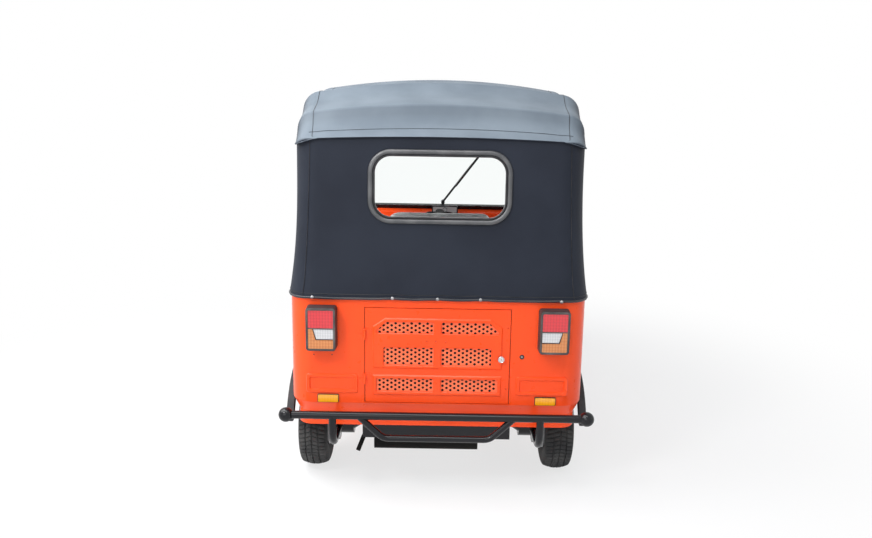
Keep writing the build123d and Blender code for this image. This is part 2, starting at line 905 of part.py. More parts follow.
# Rear suspension: trailing arms with brake plates, spring dampers and drive shafts
for side, sign in (("left", -1), ("right", 1)):
    axle_point = (rear_axle_y, wheel_radius)
    pivot_point = (ahead(pivot_ahead), pivot_z)
    span = hypot(pivot_point[0] - axle_point[0], pivot_point[1] - axle_point[1])
    tilt = degrees(atan2(pivot_point[1] - axle_point[1], pivot_point[0] - axle_point[0]))
    with BuildPart() as arm:
        with BuildSketch(lengthwise(sign * arm_x - arm_width / 2)):
            with Locations(axle_point):
                Circle(arm_knuckle_radius)
            with Locations(pivot_point):
                Circle(arm_pivot_radius)
            with BuildLine():
                bearing = Vector(cos(radians(tilt)), sin(radians(tilt)))
                upward = Vector(-bearing.Y, bearing.X)
                start = Vector(*axle_point)
                finish = Vector(*pivot_point)
                Polyline(
                    start + upward * arm_knuckle_radius * 0.9,
                    finish + upward * arm_pivot_radius * 0.9,
                    finish - upward * arm_pivot_radius * 0.9,
                    start - upward * arm_knuckle_radius * 0.9,
                    close=True,
                )
            make_face()
        extrude(amount=arm_width)
        plate_face = half_track - drum_inner_reach - running_gap
        for start_x, radius in ((arm_x, arm_knuckle_radius), (plate_face - plate_thickness, drum_radius)):
            with BuildSketch(lengthwise(sign * start_x)):
                with Locations(axle_point):
                    Circle(radius)
            extrude(amount=sign * (plate_face - start_x))
        with BuildSketch(lengthwise(sign * arm_x)):
            with Locations(axle_point):
                Circle(axle_radius)
        extrude(amount=sign * (half_track + hub_radius - arm_x))
        with BuildSketch(lengthwise(0)):
            with Locations(pivot_point):
                Circle(pivot_radius + running_gap)
        extrude(amount=sign * body_half_width, mode=Mode.SUBTRACT)
    save(arm, f"trailing_arm_{side}")

    edge_rear = start + upward * arm_knuckle_radius * 0.9
    edge_front = finish + upward * arm_pivot_radius * 0.9
    edge_slope = (edge_front.Y - edge_rear.Y) / (edge_front.X - edge_rear.X)
    damper_reach = ahead(damper_ahead) + damper_foot_radius - edge_rear.X
    damper_foot = edge_rear.Y + edge_slope * damper_reach + fit
    damper_axis = Axis((sign * arm_x, ahead(damper_ahead), 0), (0, 0, 1))
    damper_top = seat_plate_height - seat_plate - fit
    coils = 7
    pitch = (damper_top - damper_foot - 60) / coils
    with BuildPart() as damper:
        damper_base = (sign * arm_x, ahead(damper_ahead), 0)
        with BuildSketch(Plane(origin=damper_base, x_dir=(0, 1, 0), z_dir=(1, 0, 0))):
            with BuildLine():
                points = [
                    (0, damper_foot),
                    (damper_foot_radius, damper_foot),
                    (damper_foot_radius, damper_foot + 24),
                ]
                for coil in range(coils):
                    low = damper_foot + 24 + coil * pitch
                    points += [(damper_radius, low + 0.2 * pitch), (damper_radius, low + 0.5 * pitch)]
                    points += [(damper_radius - 14, low + 0.75 * pitch)]
                points += [(18, damper_top - 30), (24, damper_top - 24), (24, damper_top), (0, damper_top)]
                Polyline(*points, close=True)
            make_face()
        revolve(axis=damper_axis)
    save(damper, f"rear_damper_{side}")

    with BuildPart() as shaft:
        with BuildSketch(Plane(origin=(0, *axle_point), x_dir=(1, 0, 0), z_dir=(0, -1, 0))):
            with BuildLine():
                inner = engine_half_width + fit
                outer = arm_x - arm_width / 2 - fit
                Polyline(
                    (sign * inner, 0),
                    (sign * inner, boot_radius),
                    (sign * (inner + boot_length), shaft_radius),
                    (sign * (outer - boot_length / 2), shaft_radius),
                    (sign * outer, boot_radius),
                    (sign * outer, 0),
                    close=True,
                )
            make_face()
        revolve(axis=Axis((0, *axle_point), (1, 0, 0)))
    save(shaft, f"drive_shaft_{side}")

# Passenger seat on a pressed base over the engine
with BuildPart() as seat_base:
    with BuildSketch(level(seat_plate_height - seat_plate)):
        with Locations((0, ahead((seat_plate_start + seat_front) / 2))):
            Rectangle(2 * (inner_half_width - fit), seat_front - seat_plate_start)
    extrude(amount=seat_plate)
    with BuildSketch(upright(ahead(seat_front - fit))):
        with Locations((0, (seat_plate_height + frame_top) / 2)):
            Rectangle(2 * (floor_half_width - sill_width), seat_plate_height - frame_top)
    extrude(amount=seat_plate)
save(seat_base, "passenger_seat_base")

with BuildPart() as passenger_cushion:
    with BuildSketch(level(seat_plate_height + fit)):
        with Locations((0, ahead((cushion_start + cushion_end) / 2))):
            RectangleRounded(2 * cushion_half_width, cushion_end - cushion_start, 40)
    extrude(amount=cushion_height)
    fillet(passenger_cushion.faces().sort_by(Axis.Z)[-1].edges(), radius=25)
save(passenger_cushion, "passenger_cushion")

with BuildPart() as passenger_backrest:
    with BuildSketch(lengthwise(-cushion_half_width)):
        with BuildLine():
            foot = ahead(backrest_start)
            lean = backrest_lean
            low = seat_plate_height + fit
            Polyline(
                (foot + lean / 2, low),
                (foot + lean / 2 + backrest_thickness * 0.6, low),
                (foot + backrest_thickness, low + 0.35 * (backrest_top - low)),
                (foot + backrest_thickness - lean, backrest_top),
                (foot - lean, backrest_top),
                close=True,
            )
        make_face()
    extrude(amount=2 * cushion_half_width)
    fillet(passenger_backrest.faces().sort_by(Axis.Z)[-1].edges(), radius=22)
save(passenger_backrest, "passenger_backrest")

# Partition behind the driver, with a tube rail that carries the driver's backrest
with BuildPart() as partition:
    with BuildSketch(upright(ahead(partition_ahead))):
        with Locations((0, (floor_height + partition_top) / 2)):
            Rectangle(2 * partition_half_width, partition_top - floor_height)
    extrude(amount=-partition_thickness)
    top_corners = partition.edges().filter_by(Axis.Y).group_by(Axis.Z)[-1]
    fillet(top_corners, radius=60)
save(partition, "partition_panel")

rail_ahead = partition_ahead + partition_thickness + rail_tube + fit
with BuildPart() as partition_rail:
    add(
        tube(
            [
                (-rail_half_width, ahead(rail_ahead), floor_height),
                (-rail_half_width, ahead(rail_ahead), rail_top),
                (rail_half_width, ahead(rail_ahead), rail_top),
                (rail_half_width, ahead(rail_ahead), floor_height),
            ],
            rail_tube,
            rail_bend,
        )
    )
save(partition_rail, "partition_rail")

with BuildPart() as driver_base:
    with BuildSketch(level(floor_height + fit)):
        with Locations((0, ahead((driver_base_start + driver_base_end) / 2))):
            RectangleRounded(2 * driver_base_half_width, driver_base_end - driver_base_start, 25)
    extrude(amount=driver_base_top - floor_height - fit)
    with BuildSketch(level(floor_height)):
        with Locations((0, ahead((driver_base_start + driver_base_end) / 2))):
            inside = 2 * (driver_base_half_width - wall)
            RectangleRounded(inside, driver_base_end - driver_base_start - 2 * wall, 11)
    extrude(amount=driver_base_top - floor_height - wall, mode=Mode.SUBTRACT)
save(driver_base, "driver_seat_base")

with BuildPart() as driver_cushion_part:
    with BuildSketch(level(driver_base_top + fit)):
        with Locations((0, ahead((driver_base_start + driver_base_end) / 2 + 10))):
            RectangleRounded(2 * driver_base_half_width + 10, driver_base_end - driver_base_start + 30, 40)
    extrude(amount=driver_cushion)
    fillet(driver_cushion_part.faces().sort_by(Axis.Z)[-1].edges(), radius=22)
save(driver_cushion_part, "driver_cushion")

with BuildPart() as driver_backrest:
    back_face = ahead(rail_ahead + rail_tube + fit)
    with BuildSketch(upright(back_face)):
        with Locations((0, (driver_back_bottom + driver_back_top) / 2)):
            RectangleRounded(
                2 * driver_back_half_width, driver_back_top - driver_back_bottom, driver_back_corner
            )
    extrude(amount=-driver_back_thickness)
    fillet(driver_backrest.faces().sort_by(Axis.Y)[-1].edges(), radius=18)
save(driver_backrest, "driver_backrest")

# Front cowl, its lower edge rising over the front wheel
headlamp_places = [(-headlamp_x, headlamp_height), (headlamp_x, headlamp_height)]
indicator_places = [(-indicator_x, indicator_height), (indicator_x, indicator_height)]
with BuildPart() as front_cowl:
    loft(
        sections=[
            u_wall(z, ahead(front), ahead(cowl_end), half, corner, cowl_wall)
            for z, front, half, corner in cowl_stations
        ],
        ruled=True,
    )
    with BuildSketch(lengthwise(-body_half_width)):
        with BuildLine():
            reach = ahead(headlamp_front)
            low_end = cowl_stations[0][0] - wall
            run = cowl_stations[3][1] - cowl_end
            slope = (cowl_low_front - cowl_low_rear) / run
            Polyline(
                (ahead(cowl_end) + 60, low_end),
                (ahead(cowl_end) + 110, cowl_low_rear + 110 * slope),
                (reach, cowl_low_rear + (headlamp_front - cowl_end) * slope),
                (reach, low_end),
                close=True,
            )
        make_face()
    extrude(amount=2 * body_half_width, mode=Mode.SUBTRACT)
    with BuildSketch(upright(ahead(headlamp_front))):
        with Locations(*headlamp_places):
            Circle(headlamp_radius + fit)
    extrude(amount=headlamp_front - headlamp_back, mode=Mode.SUBTRACT)
cowl_shell = front_cowl.part

with BuildPart() as indicators:
    add(cowl_shell)
    with BuildSketch(upright(ahead(headlamp_front))):
        with Locations(*indicator_places):
            RectangleRounded(indicator_width - 2 * fit, indicator_tall - 2 * fit, 10)
    extrude(amount=headlamp_front - cowl_end, mode=Mode.INTERSECT)
save(indicators, "front_indicators")

with BuildPart() as front_cowl:
    add(cowl_shell)
    with BuildSketch(upright(ahead(headlamp_front))):
        with Locations(*indicator_places):
            RectangleRounded(indicator_width, indicator_tall, 10)
    extrude(amount=headlamp_front - cowl_end, mode=Mode.SUBTRACT)
save(front_cowl, "front_cowl")

with BuildPart() as headlamps:
    with BuildSketch(upright(ahead(headlamp_front))):
        with Locations(*headlamp_places):
            Circle(headlamp_radius)
    extrude(amount=headlamp_front - headlamp_back)
    rims = headlamps.edges().filter_by(GeomType.CIRCLE).group_by(Axis.Y)[-1]
    fillet(rims, radius=14)
save(headlamps, "headlamps")

# Inner bulkhead ahead of the driver's feet, dashboard shelf and instrument pod
bulkhead_outline = [
    (front_half_width - 60, floor_height - floor_thickness),
    (front_half_width - 40, 455),
    (front_half_width, 560),
    (front_half_width + 45, 740),
    (front_half_width + 60, bulkhead_top),
]
head_bore = column_radius + running_gap
head_outer = head_bore + head_wall
with BuildPart() as steering_head:
    with BuildSketch(across_steering(head_start)):
        Circle(head_outer)
        Circle(head_bore, mode=Mode.SUBTRACT)
    extrude(amount=head_end - head_start)
save(steering_head, "steering_head")

with BuildPart() as bulkhead:
    with BuildSketch(upright(ahead(floor_end))):
        with BuildLine():
            mirrored = [(-x, z) for x, z in reversed(bulkhead_outline)]
            Polyline(*bulkhead_outline, *mirrored, close=True)
        make_face()
    extrude(amount=-bulkhead_thickness)
    with BuildSketch(across_steering(head_start)):
        Circle(head_outer + fit)
    extrude(amount=head_end - head_start, mode=Mode.SUBTRACT)
save(bulkhead, "front_bulkhead")

dash_half_width = front_half_width + 10


def below_screen(distance):
    return screen_base_height + (distance - screen_base_ahead) * tan(radians(screen_lean)) - fit


screen_rear = screen_base_ahead - screen_thickness / 2
with BuildPart() as dashboard:
    with BuildSketch(lengthwise(-dash_half_width)):
        with BuildLine():
            Polyline(
                (ahead(floor_end), bulkhead_top + fit),
                (ahead(floor_end + dash_depth), bulkhead_top + fit),
                (ahead(floor_end + dash_depth), below_screen(floor_end + dash_depth)),
                (ahead(screen_rear), below_screen(screen_rear)),
                (ahead(floor_end), dash_back),
                close=True,
            )
        make_face()
    extrude(amount=2 * dash_half_width)
save(dashboard, "dashboard")

with BuildPart() as cluster:
    with BuildSketch(upright(ahead(floor_end - cluster_depth))):
        with Locations(((cluster_left + cluster_right) / 2, (cluster_bottom + cluster_top) / 2)):
            RectangleRounded(cluster_right - cluster_left, cluster_top - cluster_bottom, 12)
    extrude(amount=fit - cluster_depth)
    with BuildSketch(upright(ahead(floor_end - cluster_depth))):
        with Locations(((cluster_left + cluster_right) / 2, (cluster_bottom + cluster_top) / 2)):
            RectangleRounded(cluster_right - cluster_left - 14, cluster_top - cluster_bottom - 14, 8)
    extrude(amount=-4, mode=Mode.SUBTRACT)
save(cluster, "instrument_cluster")

# Windscreen in its frame, leaning back, with one wiper outside
lean = radians(screen_lean)
screen_plane = Plane(
    origin=(0, ahead(screen_base_ahead), screen_base_height),
    x_dir=(1, 0, 0),
    z_dir=(0, -cos(lean), -sin(lean)),
)


def screen_outline(inset):
    with BuildSketch(screen_plane) as outline:
        with BuildLine():
            base = screen_half_base - inset
            top = screen_half_top - inset
            Line((-base, inset), (base, inset))
            Line((base, inset), (top, screen_side_rise - inset))
            ThreePointArc(
                (top, screen_side_rise - inset), (0, screen_rise - inset), (-top, screen_side_rise - inset)
            )
            Line((-top, screen_side_rise - inset), (-base, inset))
        make_face()
        fillet(outline.vertices(), radius=screen_corner)
    return outline.sketch


with BuildPart() as screen_frame:
    extrude(to_extrude=screen_outline(0), amount=screen_thickness / 2, both=True)
    extrude(to_extrude=screen_outline(screen_border), amount=screen_thickness, both=True, mode=Mode.SUBTRACT)
save(screen_frame, "windscreen_frame")

with BuildPart() as windscreen:
    extrude(to_extrude=screen_outline(screen_border + fit), amount=glass / 2, both=True)
save(windscreen, "windscreen")

with BuildPart() as wiper:
    outer_face = screen_plane.offset(-glass / 2 - fit)
    wiper_z = screen_border + 14
    with BuildSketch(outer_face):
        with Locations((wiper_x, wiper_z)):
            Circle(12)
    extrude(amount=-24)
    swing = radians(wiper_swing)
    with BuildSketch(outer_face.offset(-12)):
        with Locations((wiper_x + sin(swing) * wiper_arm / 2, wiper_z + cos(swing) * wiper_arm / 2)):
            SlotOverall(wiper_arm, 12, rotation=90 - wiper_swing)
    extrude(amount=-8)
    with BuildSketch(outer_face):
        with Locations((wiper_x + sin(swing) * wiper_arm, wiper_z + cos(swing) * wiper_arm)):
            SlotOverall(wiper_blade, 12, rotation=90 - wiper_swing)
    extrude(amount=-14)
save(wiper, "wiper")

# Hood: a canvas shell over bows, its facets meeting at the bows
def hood_section(station, inset):
    distance, crown, half_width, shoulder, drop = station
    x = half_width - inset
    r = shoulder - inset
    z = crown - inset
    spring = z - drop - r
    low = valance_side - hood_overrun
    middle = r * sqrt(0.5)
    with BuildSketch(upright(ahead(distance))) as section:
        with BuildLine():
            Line((-x, low), (x, low))
            Line((x, low), (x, spring))
            ThreePointArc((x, spring), (x - r + middle, spring + middle), (x - r, spring + r))
            ThreePointArc((x - r, spring + r), (0, z), (r - x, spring + r))
            ThreePointArc((r - x, spring + r), (r - x - middle, spring + middle), (-x, spring))
            Line((-x, spring), (-x, low))
        make_face()
    return section.sketch


def hood_solid(inset):
    first = ahead(hood_stations[0][0] + inset)
    half_width = hood_plan_half_width - inset
    with BuildPart() as solid:
        loft(sections=[hood_section(station, inset) for station in hood_stations], ruled=True)
        with BuildSketch(level(valance_side - 1.5 * hood_overrun)) as plan:
            with Locations((0, first + overall_length / 2)):
                Rectangle(2 * half_width, overall_length)
            fillet(plan.vertices().group_by(Axis.Y)[0], radius=hood_plan_corner - inset)
        extrude(amount=overall_length, mode=Mode.INTERSECT)
    return solid.part


def below_crown(centre, edge, reach):
    with BuildPart() as region:
        with BuildSketch(upright(ahead(-wall))):
            with BuildLine():
                ThreePointArc((-reach, edge), (0, centre), (reach, edge))
                Polyline((reach, edge), (reach, 0), (-reach, 0), (-reach, edge))
            make_face()
        extrude(amount=-overall_length)
    return region.part


crown_region = below_crown(valance_centre, valance_side, hood_plan_half_width + 10)
hood_hollow = hood_solid(canvas)
hood_outer = hood_solid(0)
with BuildPart() as hood_top:
    add(hood_outer)
    add(hood_hollow, mode=Mode.SUBTRACT)
    add(crown_region, mode=Mode.SUBTRACT)
save(hood_top, "hood_top")

# Rear curtain: canvas round the back and sides, its hem over the top edge of the body
curtain_gap = canvas + fit
curtain_levels = [
    (hem_bottom, -curtain_gap, body_half_width + curtain_gap, body_corner + curtain_gap),
    (hem_top, -curtain_gap, body_half_width + curtain_gap, body_corner + curtain_gap),
    (curtain_waist, curtain_waist_ahead, curtain_waist_half_width, curtain_corner + 5),
    (valance_centre + 5, curtain_top_ahead, curtain_top_half_width, curtain_corner),
]
curtain_lean = atan2(curtain_top_ahead - curtain_waist_ahead, valance_centre + 5 - curtain_waist)
window_y = ahead(curtain_waist_ahead) + (window_height - curtain_waist) * tan(curtain_lean)
window_plane = Plane(
    origin=(0, window_y, window_height),
    x_dir=(1, 0, 0),
    z_dir=(0, -cos(curtain_lean), sin(curtain_lean)),
)
with BuildPart() as rear_curtain:
    loft(
        sections=[
            u_wall(z, ahead(back), ahead(curtain_end), half, corner, canvas)
            for z, back, half, corner in curtain_levels
        ],
        ruled=True,
    )
    add(crown_region, mode=Mode.INTERSECT)
    with BuildSketch(window_plane.offset(seal_proud)):
        RectangleRounded(window_width + 2 * seal_bite, window_tall + 2 * seal_bite, window_corner + seal_bite)
    extrude(amount=-4 * seal_proud, mode=Mode.SUBTRACT)
save(rear_curtain, "rear_curtain")

with BuildPart() as window_seal:
    with BuildSketch(window_plane):
        RectangleRounded(
            window_width + 2 * seal_border, window_tall + 2 * seal_border, window_corner + seal_border
        )
        RectangleRounded(window_width, window_tall, window_corner, mode=Mode.SUBTRACT)
    extrude(amount=seal_proud)
    outer_rim = window_seal.faces().filter_by(window_plane).sort_by(Axis.Y)[0].outer_wire().edges()
    chamfer(outer_rim, length=5)
    with BuildSketch(window_plane):
        bite = seal_bite - fit
        RectangleRounded(window_width + 2 * bite, window_tall + 2 * bite, window_corner + bite)
        RectangleRounded(window_width, window_tall, window_corner, mode=Mode.SUBTRACT)
    extrude(amount=-canvas - seal_depth)
save(window_seal, "rear_window_seal")

with BuildPart() as rear_window:
    with BuildSketch(window_plane):
        RectangleRounded(window_width - 2 * fit, window_tall - 2 * fit, window_corner - fit)
    extrude(amount=-pane)
save(rear_window, "rear_window")

# Hood frame: bows under the creases, side rails and legs on the quarter panels
def bow(index):
    distance, crown, half_width, shoulder, drop = hood_stations[index]
    slopes = [
        (hood_stations[i + 1][1] - hood_stations[i][1]) / (hood_stations[i + 1][0] - hood_stations[i][0])
        for i in (index - 1, index)
    ]
    steepest = max(abs(slope) for slope in slopes)
    inset = canvas + (bow_radius + running_gap) * sqrt(1 + steepest ** 2)
    x = half_width - inset
    r = shoulder - inset
    z = crown - inset
    y = ahead(distance)
    spring = z - drop - r
    middle = r * sqrt(0.5)
    with BuildPart() as hoop:
        with BuildLine() as route:
            Line((x, y, rail_height), (x, y, spring))
            ThreePointArc((x, y, spring), (x - r + middle, y, spring + middle), (x - r, y, spring + r))
            ThreePointArc((x - r, y, spring + r), (0, y, z), (r - x, y, spring + r))
            ThreePointArc((r - x, y, spring + r), (r - x - middle, y, spring + middle), (-x, y, spring))
            Line((-x, y, spring), (-x, y, rail_height))
        with BuildSketch(Plane(origin=route.line @ 0, z_dir=route.line % 0)):
            Circle(bow_radius)
        sweep(transition=Transition.ROUND)
    return hoop.part


bows = [bow(index) for index in (1, 2, 3, 4)]
rail_places = [(station[2] - canvas - rail_inset - bow_radius, station[0]) for station in hood_stations[1:5]]
rear_rail_x = rail_places[0][0]
leg_places = [(rear_rail_x, rear_leg_ahead), (rail_places[1][0], leg_ahead)]
screen_rise_at_rail = rail_height + bow_radius - screen_base_height
screen_back = screen_base_ahead - screen_rise_at_rail * tan(lean) - screen_thickness / 2 / cos(lean) - fit
side_rails = [
    tube(
        [(sign * rear_rail_x, ahead(rear_leg_ahead), rail_height)]
        + [(sign * x, ahead(distance), rail_height) for x, distance in rail_places[1:]]
        + [(sign * rail_front_x, ahead(screen_back), rail_height)],
        bow_radius,
        rail_turn,
    )
    for sign in (-1, 1)
]
with BuildPart() as hood_frame:
    for piece in bows + side_rails:
        add(piece)
    for sign in (-1, 1):
        for x, distance in leg_places:
            with BuildSketch(level(bow_foot_height)):
                with Locations((sign * x, ahead(distance))):
                    Circle(leg_radius)
            extrude(amount=rail_height - bow_foot_height)
            with BuildSketch(level(bow_foot_height)):
                with Locations((sign * (x + inner_half_width - fit) / 2, ahead(distance))):
                    Rectangle(inner_half_width - fit - x, bow_radius)
            extrude(amount=body_top - bow_foot_height - 10)
save(hood_frame, "hood_frame")

# Front fork with its crown, and the swing link with its spring damper
crown_left = link_x - link_width / 2 - 3
top = on_steering(crown_start + crown_depth / 2)
root = Vector(top.Y, top.Z)
tip = Vector(ahead(fork_pivot_ahead), fork_pivot_height)
axle = Vector(front_axle_y, wheel_radius)


def taper_bar(first, second, first_half, second_half):
    bearing = (second - first).normalized()
    square = Vector(-bearing.Y, bearing.X)
    corners = [
        first + square * first_half,
        second + square * second_half,
        second - square * second_half,
        first - square * first_half,
    ]
    return [(corner.X, corner.Y) for corner in corners]


with BuildPart() as fork:
    with BuildSketch(across_steering(crown_start)):
        Circle(column_radius)
    extrude(amount=column_end - crown_start)
    with BuildSketch(across_steering(crown_start)):
        with Locations(((crown_left + boss_radius) / 2, 0)):
            RectangleRounded(boss_radius - crown_left, 2 * boss_radius, crown_round)
    extrude(amount=crown_depth)
    with BuildSketch(lengthwise(fork_x - fork_width / 2)):
        with BuildLine():
            Polyline(*taper_bar(root, tip, fork_tip_radius * 1.1, fork_tip_radius * 0.95), close=True)
        make_face()
        with Locations((tip.X, tip.Y)):
            Circle(fork_tip_radius)
    extrude(amount=fork_width)
save(fork, "steering_fork")

with BuildPart() as link:
    with BuildSketch(lengthwise(link_x - link_width / 2)):
        with BuildLine():
            Polyline(*taper_bar(tip, axle, link_radius * 0.9, link_radius * 0.9), close=True)
        make_face()
        with Locations((tip.X, tip.Y), (axle.X, axle.Y)):
            Circle(link_radius)
    link_face = fork_x - fork_width / 2 - fit
    extrude(amount=link_face - link_x + link_width / 2)
    for radius, finish_x in ((axle_radius, hub_half_length), (spacer_radius, -hub_half_length - running_gap)):
        with BuildSketch(lengthwise(link_x)):
            with Locations((axle.X, axle.Y)):
                Circle(radius)
        extrude(amount=finish_x - link_x)
    for radius, low, high in (
        (front_rod_radius, crown_start * 0.15, crown_start - fit),
        (front_spring_radius, crown_start * 0.4, crown_start - crown_depth),
    ):
        with BuildSketch(across_steering(low)):
            with Locations((link_x, 0)):
                Circle(radius)
        extrude(amount=high - low)
save(link, "front_link")

# Front mudguard, turning with the fork
front_edge = radians(mudguard_front)
mudguard_plane = Plane(
    origin=(0, front_axle_y, wheel_radius),
    x_dir=(1, 0, 0),
    z_dir=(0, -sin(front_edge), cos(front_edge)),
)
with BuildPart() as mudguard:
    with BuildSketch(mudguard_plane):
        with BuildLine():
            shoulder = mudguard_half_width - mudguard_slope
            half = []
            for inset in (0, mudguard_wall):
                half.append((mudguard_half_width - inset, mudguard_radius - mudguard_skirt))
                half.append((mudguard_half_width - inset, mudguard_radius - mudguard_drop - inset))
                half.append((shoulder - inset, mudguard_radius - inset))
            outside = half[:3] + [(-x, r) for x, r in reversed(half[:3])]
            inside = [(-x, r) for x, r in half[3:]] + half[:2:-1]
            Polyline(*outside, *inside, close=True)
        make_face()
    revolve(
        axis=Axis((0, front_axle_y, wheel_radius), (1, 0, 0)), revolution_arc=mudguard_rear - mudguard_front
    )
    with BuildSketch(across_steering(crown_start - fit)):
        Circle(boss_radius)
    extrude(amount=-boss_radius * 1.5)
save(mudguard, "front_mudguard")

# Handlebar with its clamp, levers and grips
bar_plane = across_steering(bar_along)


def on_bar(side, forward):
    return bar_plane.from_local_coords((side, forward, 0))


bar_end = Vector(bar_half_width, -bar_pull_back - bar_sweep)
bar_turn = Vector(bar_bend_half, -bar_pull_back)
grip_start = bar_end - (bar_end - bar_turn).normalized() * grip_length
bar_run = [
    (grip_start.X, grip_start.Y),
    (bar_bend_half, -bar_pull_back),
    (bar_rise_half, 0),
]
bar_points = [on_bar(x, y) for x, y in bar_run] + [on_bar(-x, y) for x, y in reversed(bar_run)]
bar_tube = tube(bar_points, bar_radius, bar_bend)
perch_share = 0.8
perch = (
    bar_rise_half + perch_share * (bar_bend_half - bar_rise_half),
    -perch_share * bar_pull_back,
)
lever_run = [
    perch,
    (bar_bend_half + lever_gap / 2, lever_gap - bar_pull_back),
    (bar_half_width - lever_gap / 2, lever_gap - bar_pull_back - bar_sweep),
]
with BuildPart() as handlebar:
    add(bar_tube)
    for sign in (-1, 1):
        add(tube([on_bar(sign * x, y) for x, y in lever_run], lever_radius, lever_gap / 2))
    with BuildSketch(across_steering(column_end + fit)):
        Circle(column_radius + bar_radius / 2)
    extrude(amount=bar_along + bar_radius + 3 - column_end)
save(handlebar, "handlebar")

with BuildPart() as grips:
    for sign in (-1, 1):
        add(
            tube(
                [on_bar(sign * grip_start.X, grip_start.Y), on_bar(sign * bar_end.X, bar_end.Y)],
                grip_radius,
                0,
            )
        )
save(grips, "handlebar_grips")
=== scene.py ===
import json
import math

import bmesh
import bpy
import numpy as np
from mathutils import Matrix, Quaternion, Vector, noise
from mathutils.bvhtree import BVHTree


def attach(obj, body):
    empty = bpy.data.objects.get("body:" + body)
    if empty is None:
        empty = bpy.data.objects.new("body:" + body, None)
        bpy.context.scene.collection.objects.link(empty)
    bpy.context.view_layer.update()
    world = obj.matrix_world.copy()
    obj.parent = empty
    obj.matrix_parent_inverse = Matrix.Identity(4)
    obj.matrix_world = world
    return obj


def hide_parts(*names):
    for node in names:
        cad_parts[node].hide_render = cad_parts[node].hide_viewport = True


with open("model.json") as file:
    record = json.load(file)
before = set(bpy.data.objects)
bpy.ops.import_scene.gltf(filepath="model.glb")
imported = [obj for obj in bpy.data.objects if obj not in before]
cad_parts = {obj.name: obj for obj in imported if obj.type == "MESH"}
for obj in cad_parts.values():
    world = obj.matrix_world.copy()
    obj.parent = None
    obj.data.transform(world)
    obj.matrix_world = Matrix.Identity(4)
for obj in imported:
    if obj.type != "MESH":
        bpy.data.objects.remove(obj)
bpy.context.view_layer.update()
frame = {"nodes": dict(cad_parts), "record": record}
nodes = frame["nodes"]
scene = bpy.context.scene
mm = 0.001
fullTurn = 2 * math.pi
tailY = -1.239          # tail panel's face, metres
sides = ((-1, "Left"), (1, "Right"))


def ahead(distance):
    return tailY + distance * mm


def mix(start, end, share):
    return start + (end - start) * share


def eased(value, low, high):
    share = min(max((value - low) / (high - low), 0.0), 1.0)
    return share * share * (3 - 2 * share)


# Node graphs, for finishes and for Geometry Nodes
class Wire:
    def __init__(self, graph, socket):
        self.graph = graph
        self.socket = socket

    def also(self, name):
        return Wire(self.graph, self.socket.node.outputs[name])

    def maths(self, operation, other):
        return self.graph.node("ShaderNodeMath", {"operation": operation}, {0: self, 1: other})

    def __add__(self, other):
        return self.maths("ADD", other)

    def __mul__(self, other):
        return self.maths("MULTIPLY", other)

    def __truediv__(self, other):
        return self.maths("DIVIDE", other)

    __radd__ = __add__


class Graph:
    def __init__(self, tree):
        self.tree = tree

    def node(self, kind, settings=None, sockets=None, out=0):
        made = self.tree.nodes.new(kind)
        for name, value in (settings or {}).items():
            setattr(made, name, value)
        for key, value in (sockets or {}).items():
            if isinstance(value, Wire):
                self.tree.links.new(value.socket, made.inputs[key])
            else:
                made.inputs[key].default_value = value
        return Wire(self, made.outputs[out])

    def output(self, kind, wire):
        self.tree.links.new(wire.socket, self.tree.nodes.new(kind).inputs[0])

    def spread(self, value, low, high, start=0.0, end=1.0):
        return self.node(
            "ShaderNodeMapRange", {"interpolation_type": "SMOOTHSTEP"},
            {"Value": value, "From Min": low, "From Max": high, "To Min": start, "To Max": end},
        )

    def upward(self, vector):
        return self.node("ShaderNodeSeparateXYZ", {}, {0: vector}, "Z")


def blank(holder):
    holder.use_nodes = True
    holder.node_tree.nodes.clear()
    return holder


class Finish(Graph):
    def __init__(self, name, constants):
        self.material = blank(bpy.data.materials.new(name))
        super().__init__(self.material.node_tree)
        shader = self.node("ShaderNodeBsdfPrincipled", {}, constants)
        self.shader = shader.socket.node
        self.output("ShaderNodeOutputMaterial", shader)
        self.place = self.node("ShaderNodeTexCoord", out="Object")

    def grain(self, scale, detail=3.0, stretch=None):
        vector = self.place
        if stretch:
            vector = self.node("ShaderNodeMapping", {}, {"Vector": vector, "Scale": stretch})
        return self.node("ShaderNodeTexNoise", {}, {"Vector": vector, "Scale": scale, "Detail": detail}, "Fac")

    def waves(self, way, scale):
        settings = {"bands_direction": way, "wave_profile": "SIN"}
        return self.node("ShaderNodeTexWave", settings, {"Vector": self.place, "Scale": scale}, "Fac")

    def cells(self, feature, scale):
        sockets = {"Vector": self.place, "Scale": scale}
        return self.node("ShaderNodeTexVoronoi", {"feature": feature}, sockets, "Distance")

    def blend(self, factor, first, second):
        return self.node("ShaderNodeMix", {"data_type": "RGBA"}, {0: factor, 6: first, 7: second}, 2)

    def mottle(self, value, low, high, first, second):
        return self.blend(self.spread(value, low, high), first, second)

    def wear(self, **feeds):
        for label, wire in feeds.items():
            self.tree.links.new(wire.socket, self.shader.inputs[label.replace("_", " ")])

    def relief(self, height, strength, depth):
        sockets = {"Height": height, "Strength": strength, "Distance": depth * mm}
        self.wear(Normal=self.node("ShaderNodeBump", {}, sockets))


def tone(red, green, blue):
    return (red, green, blue, 1.0)


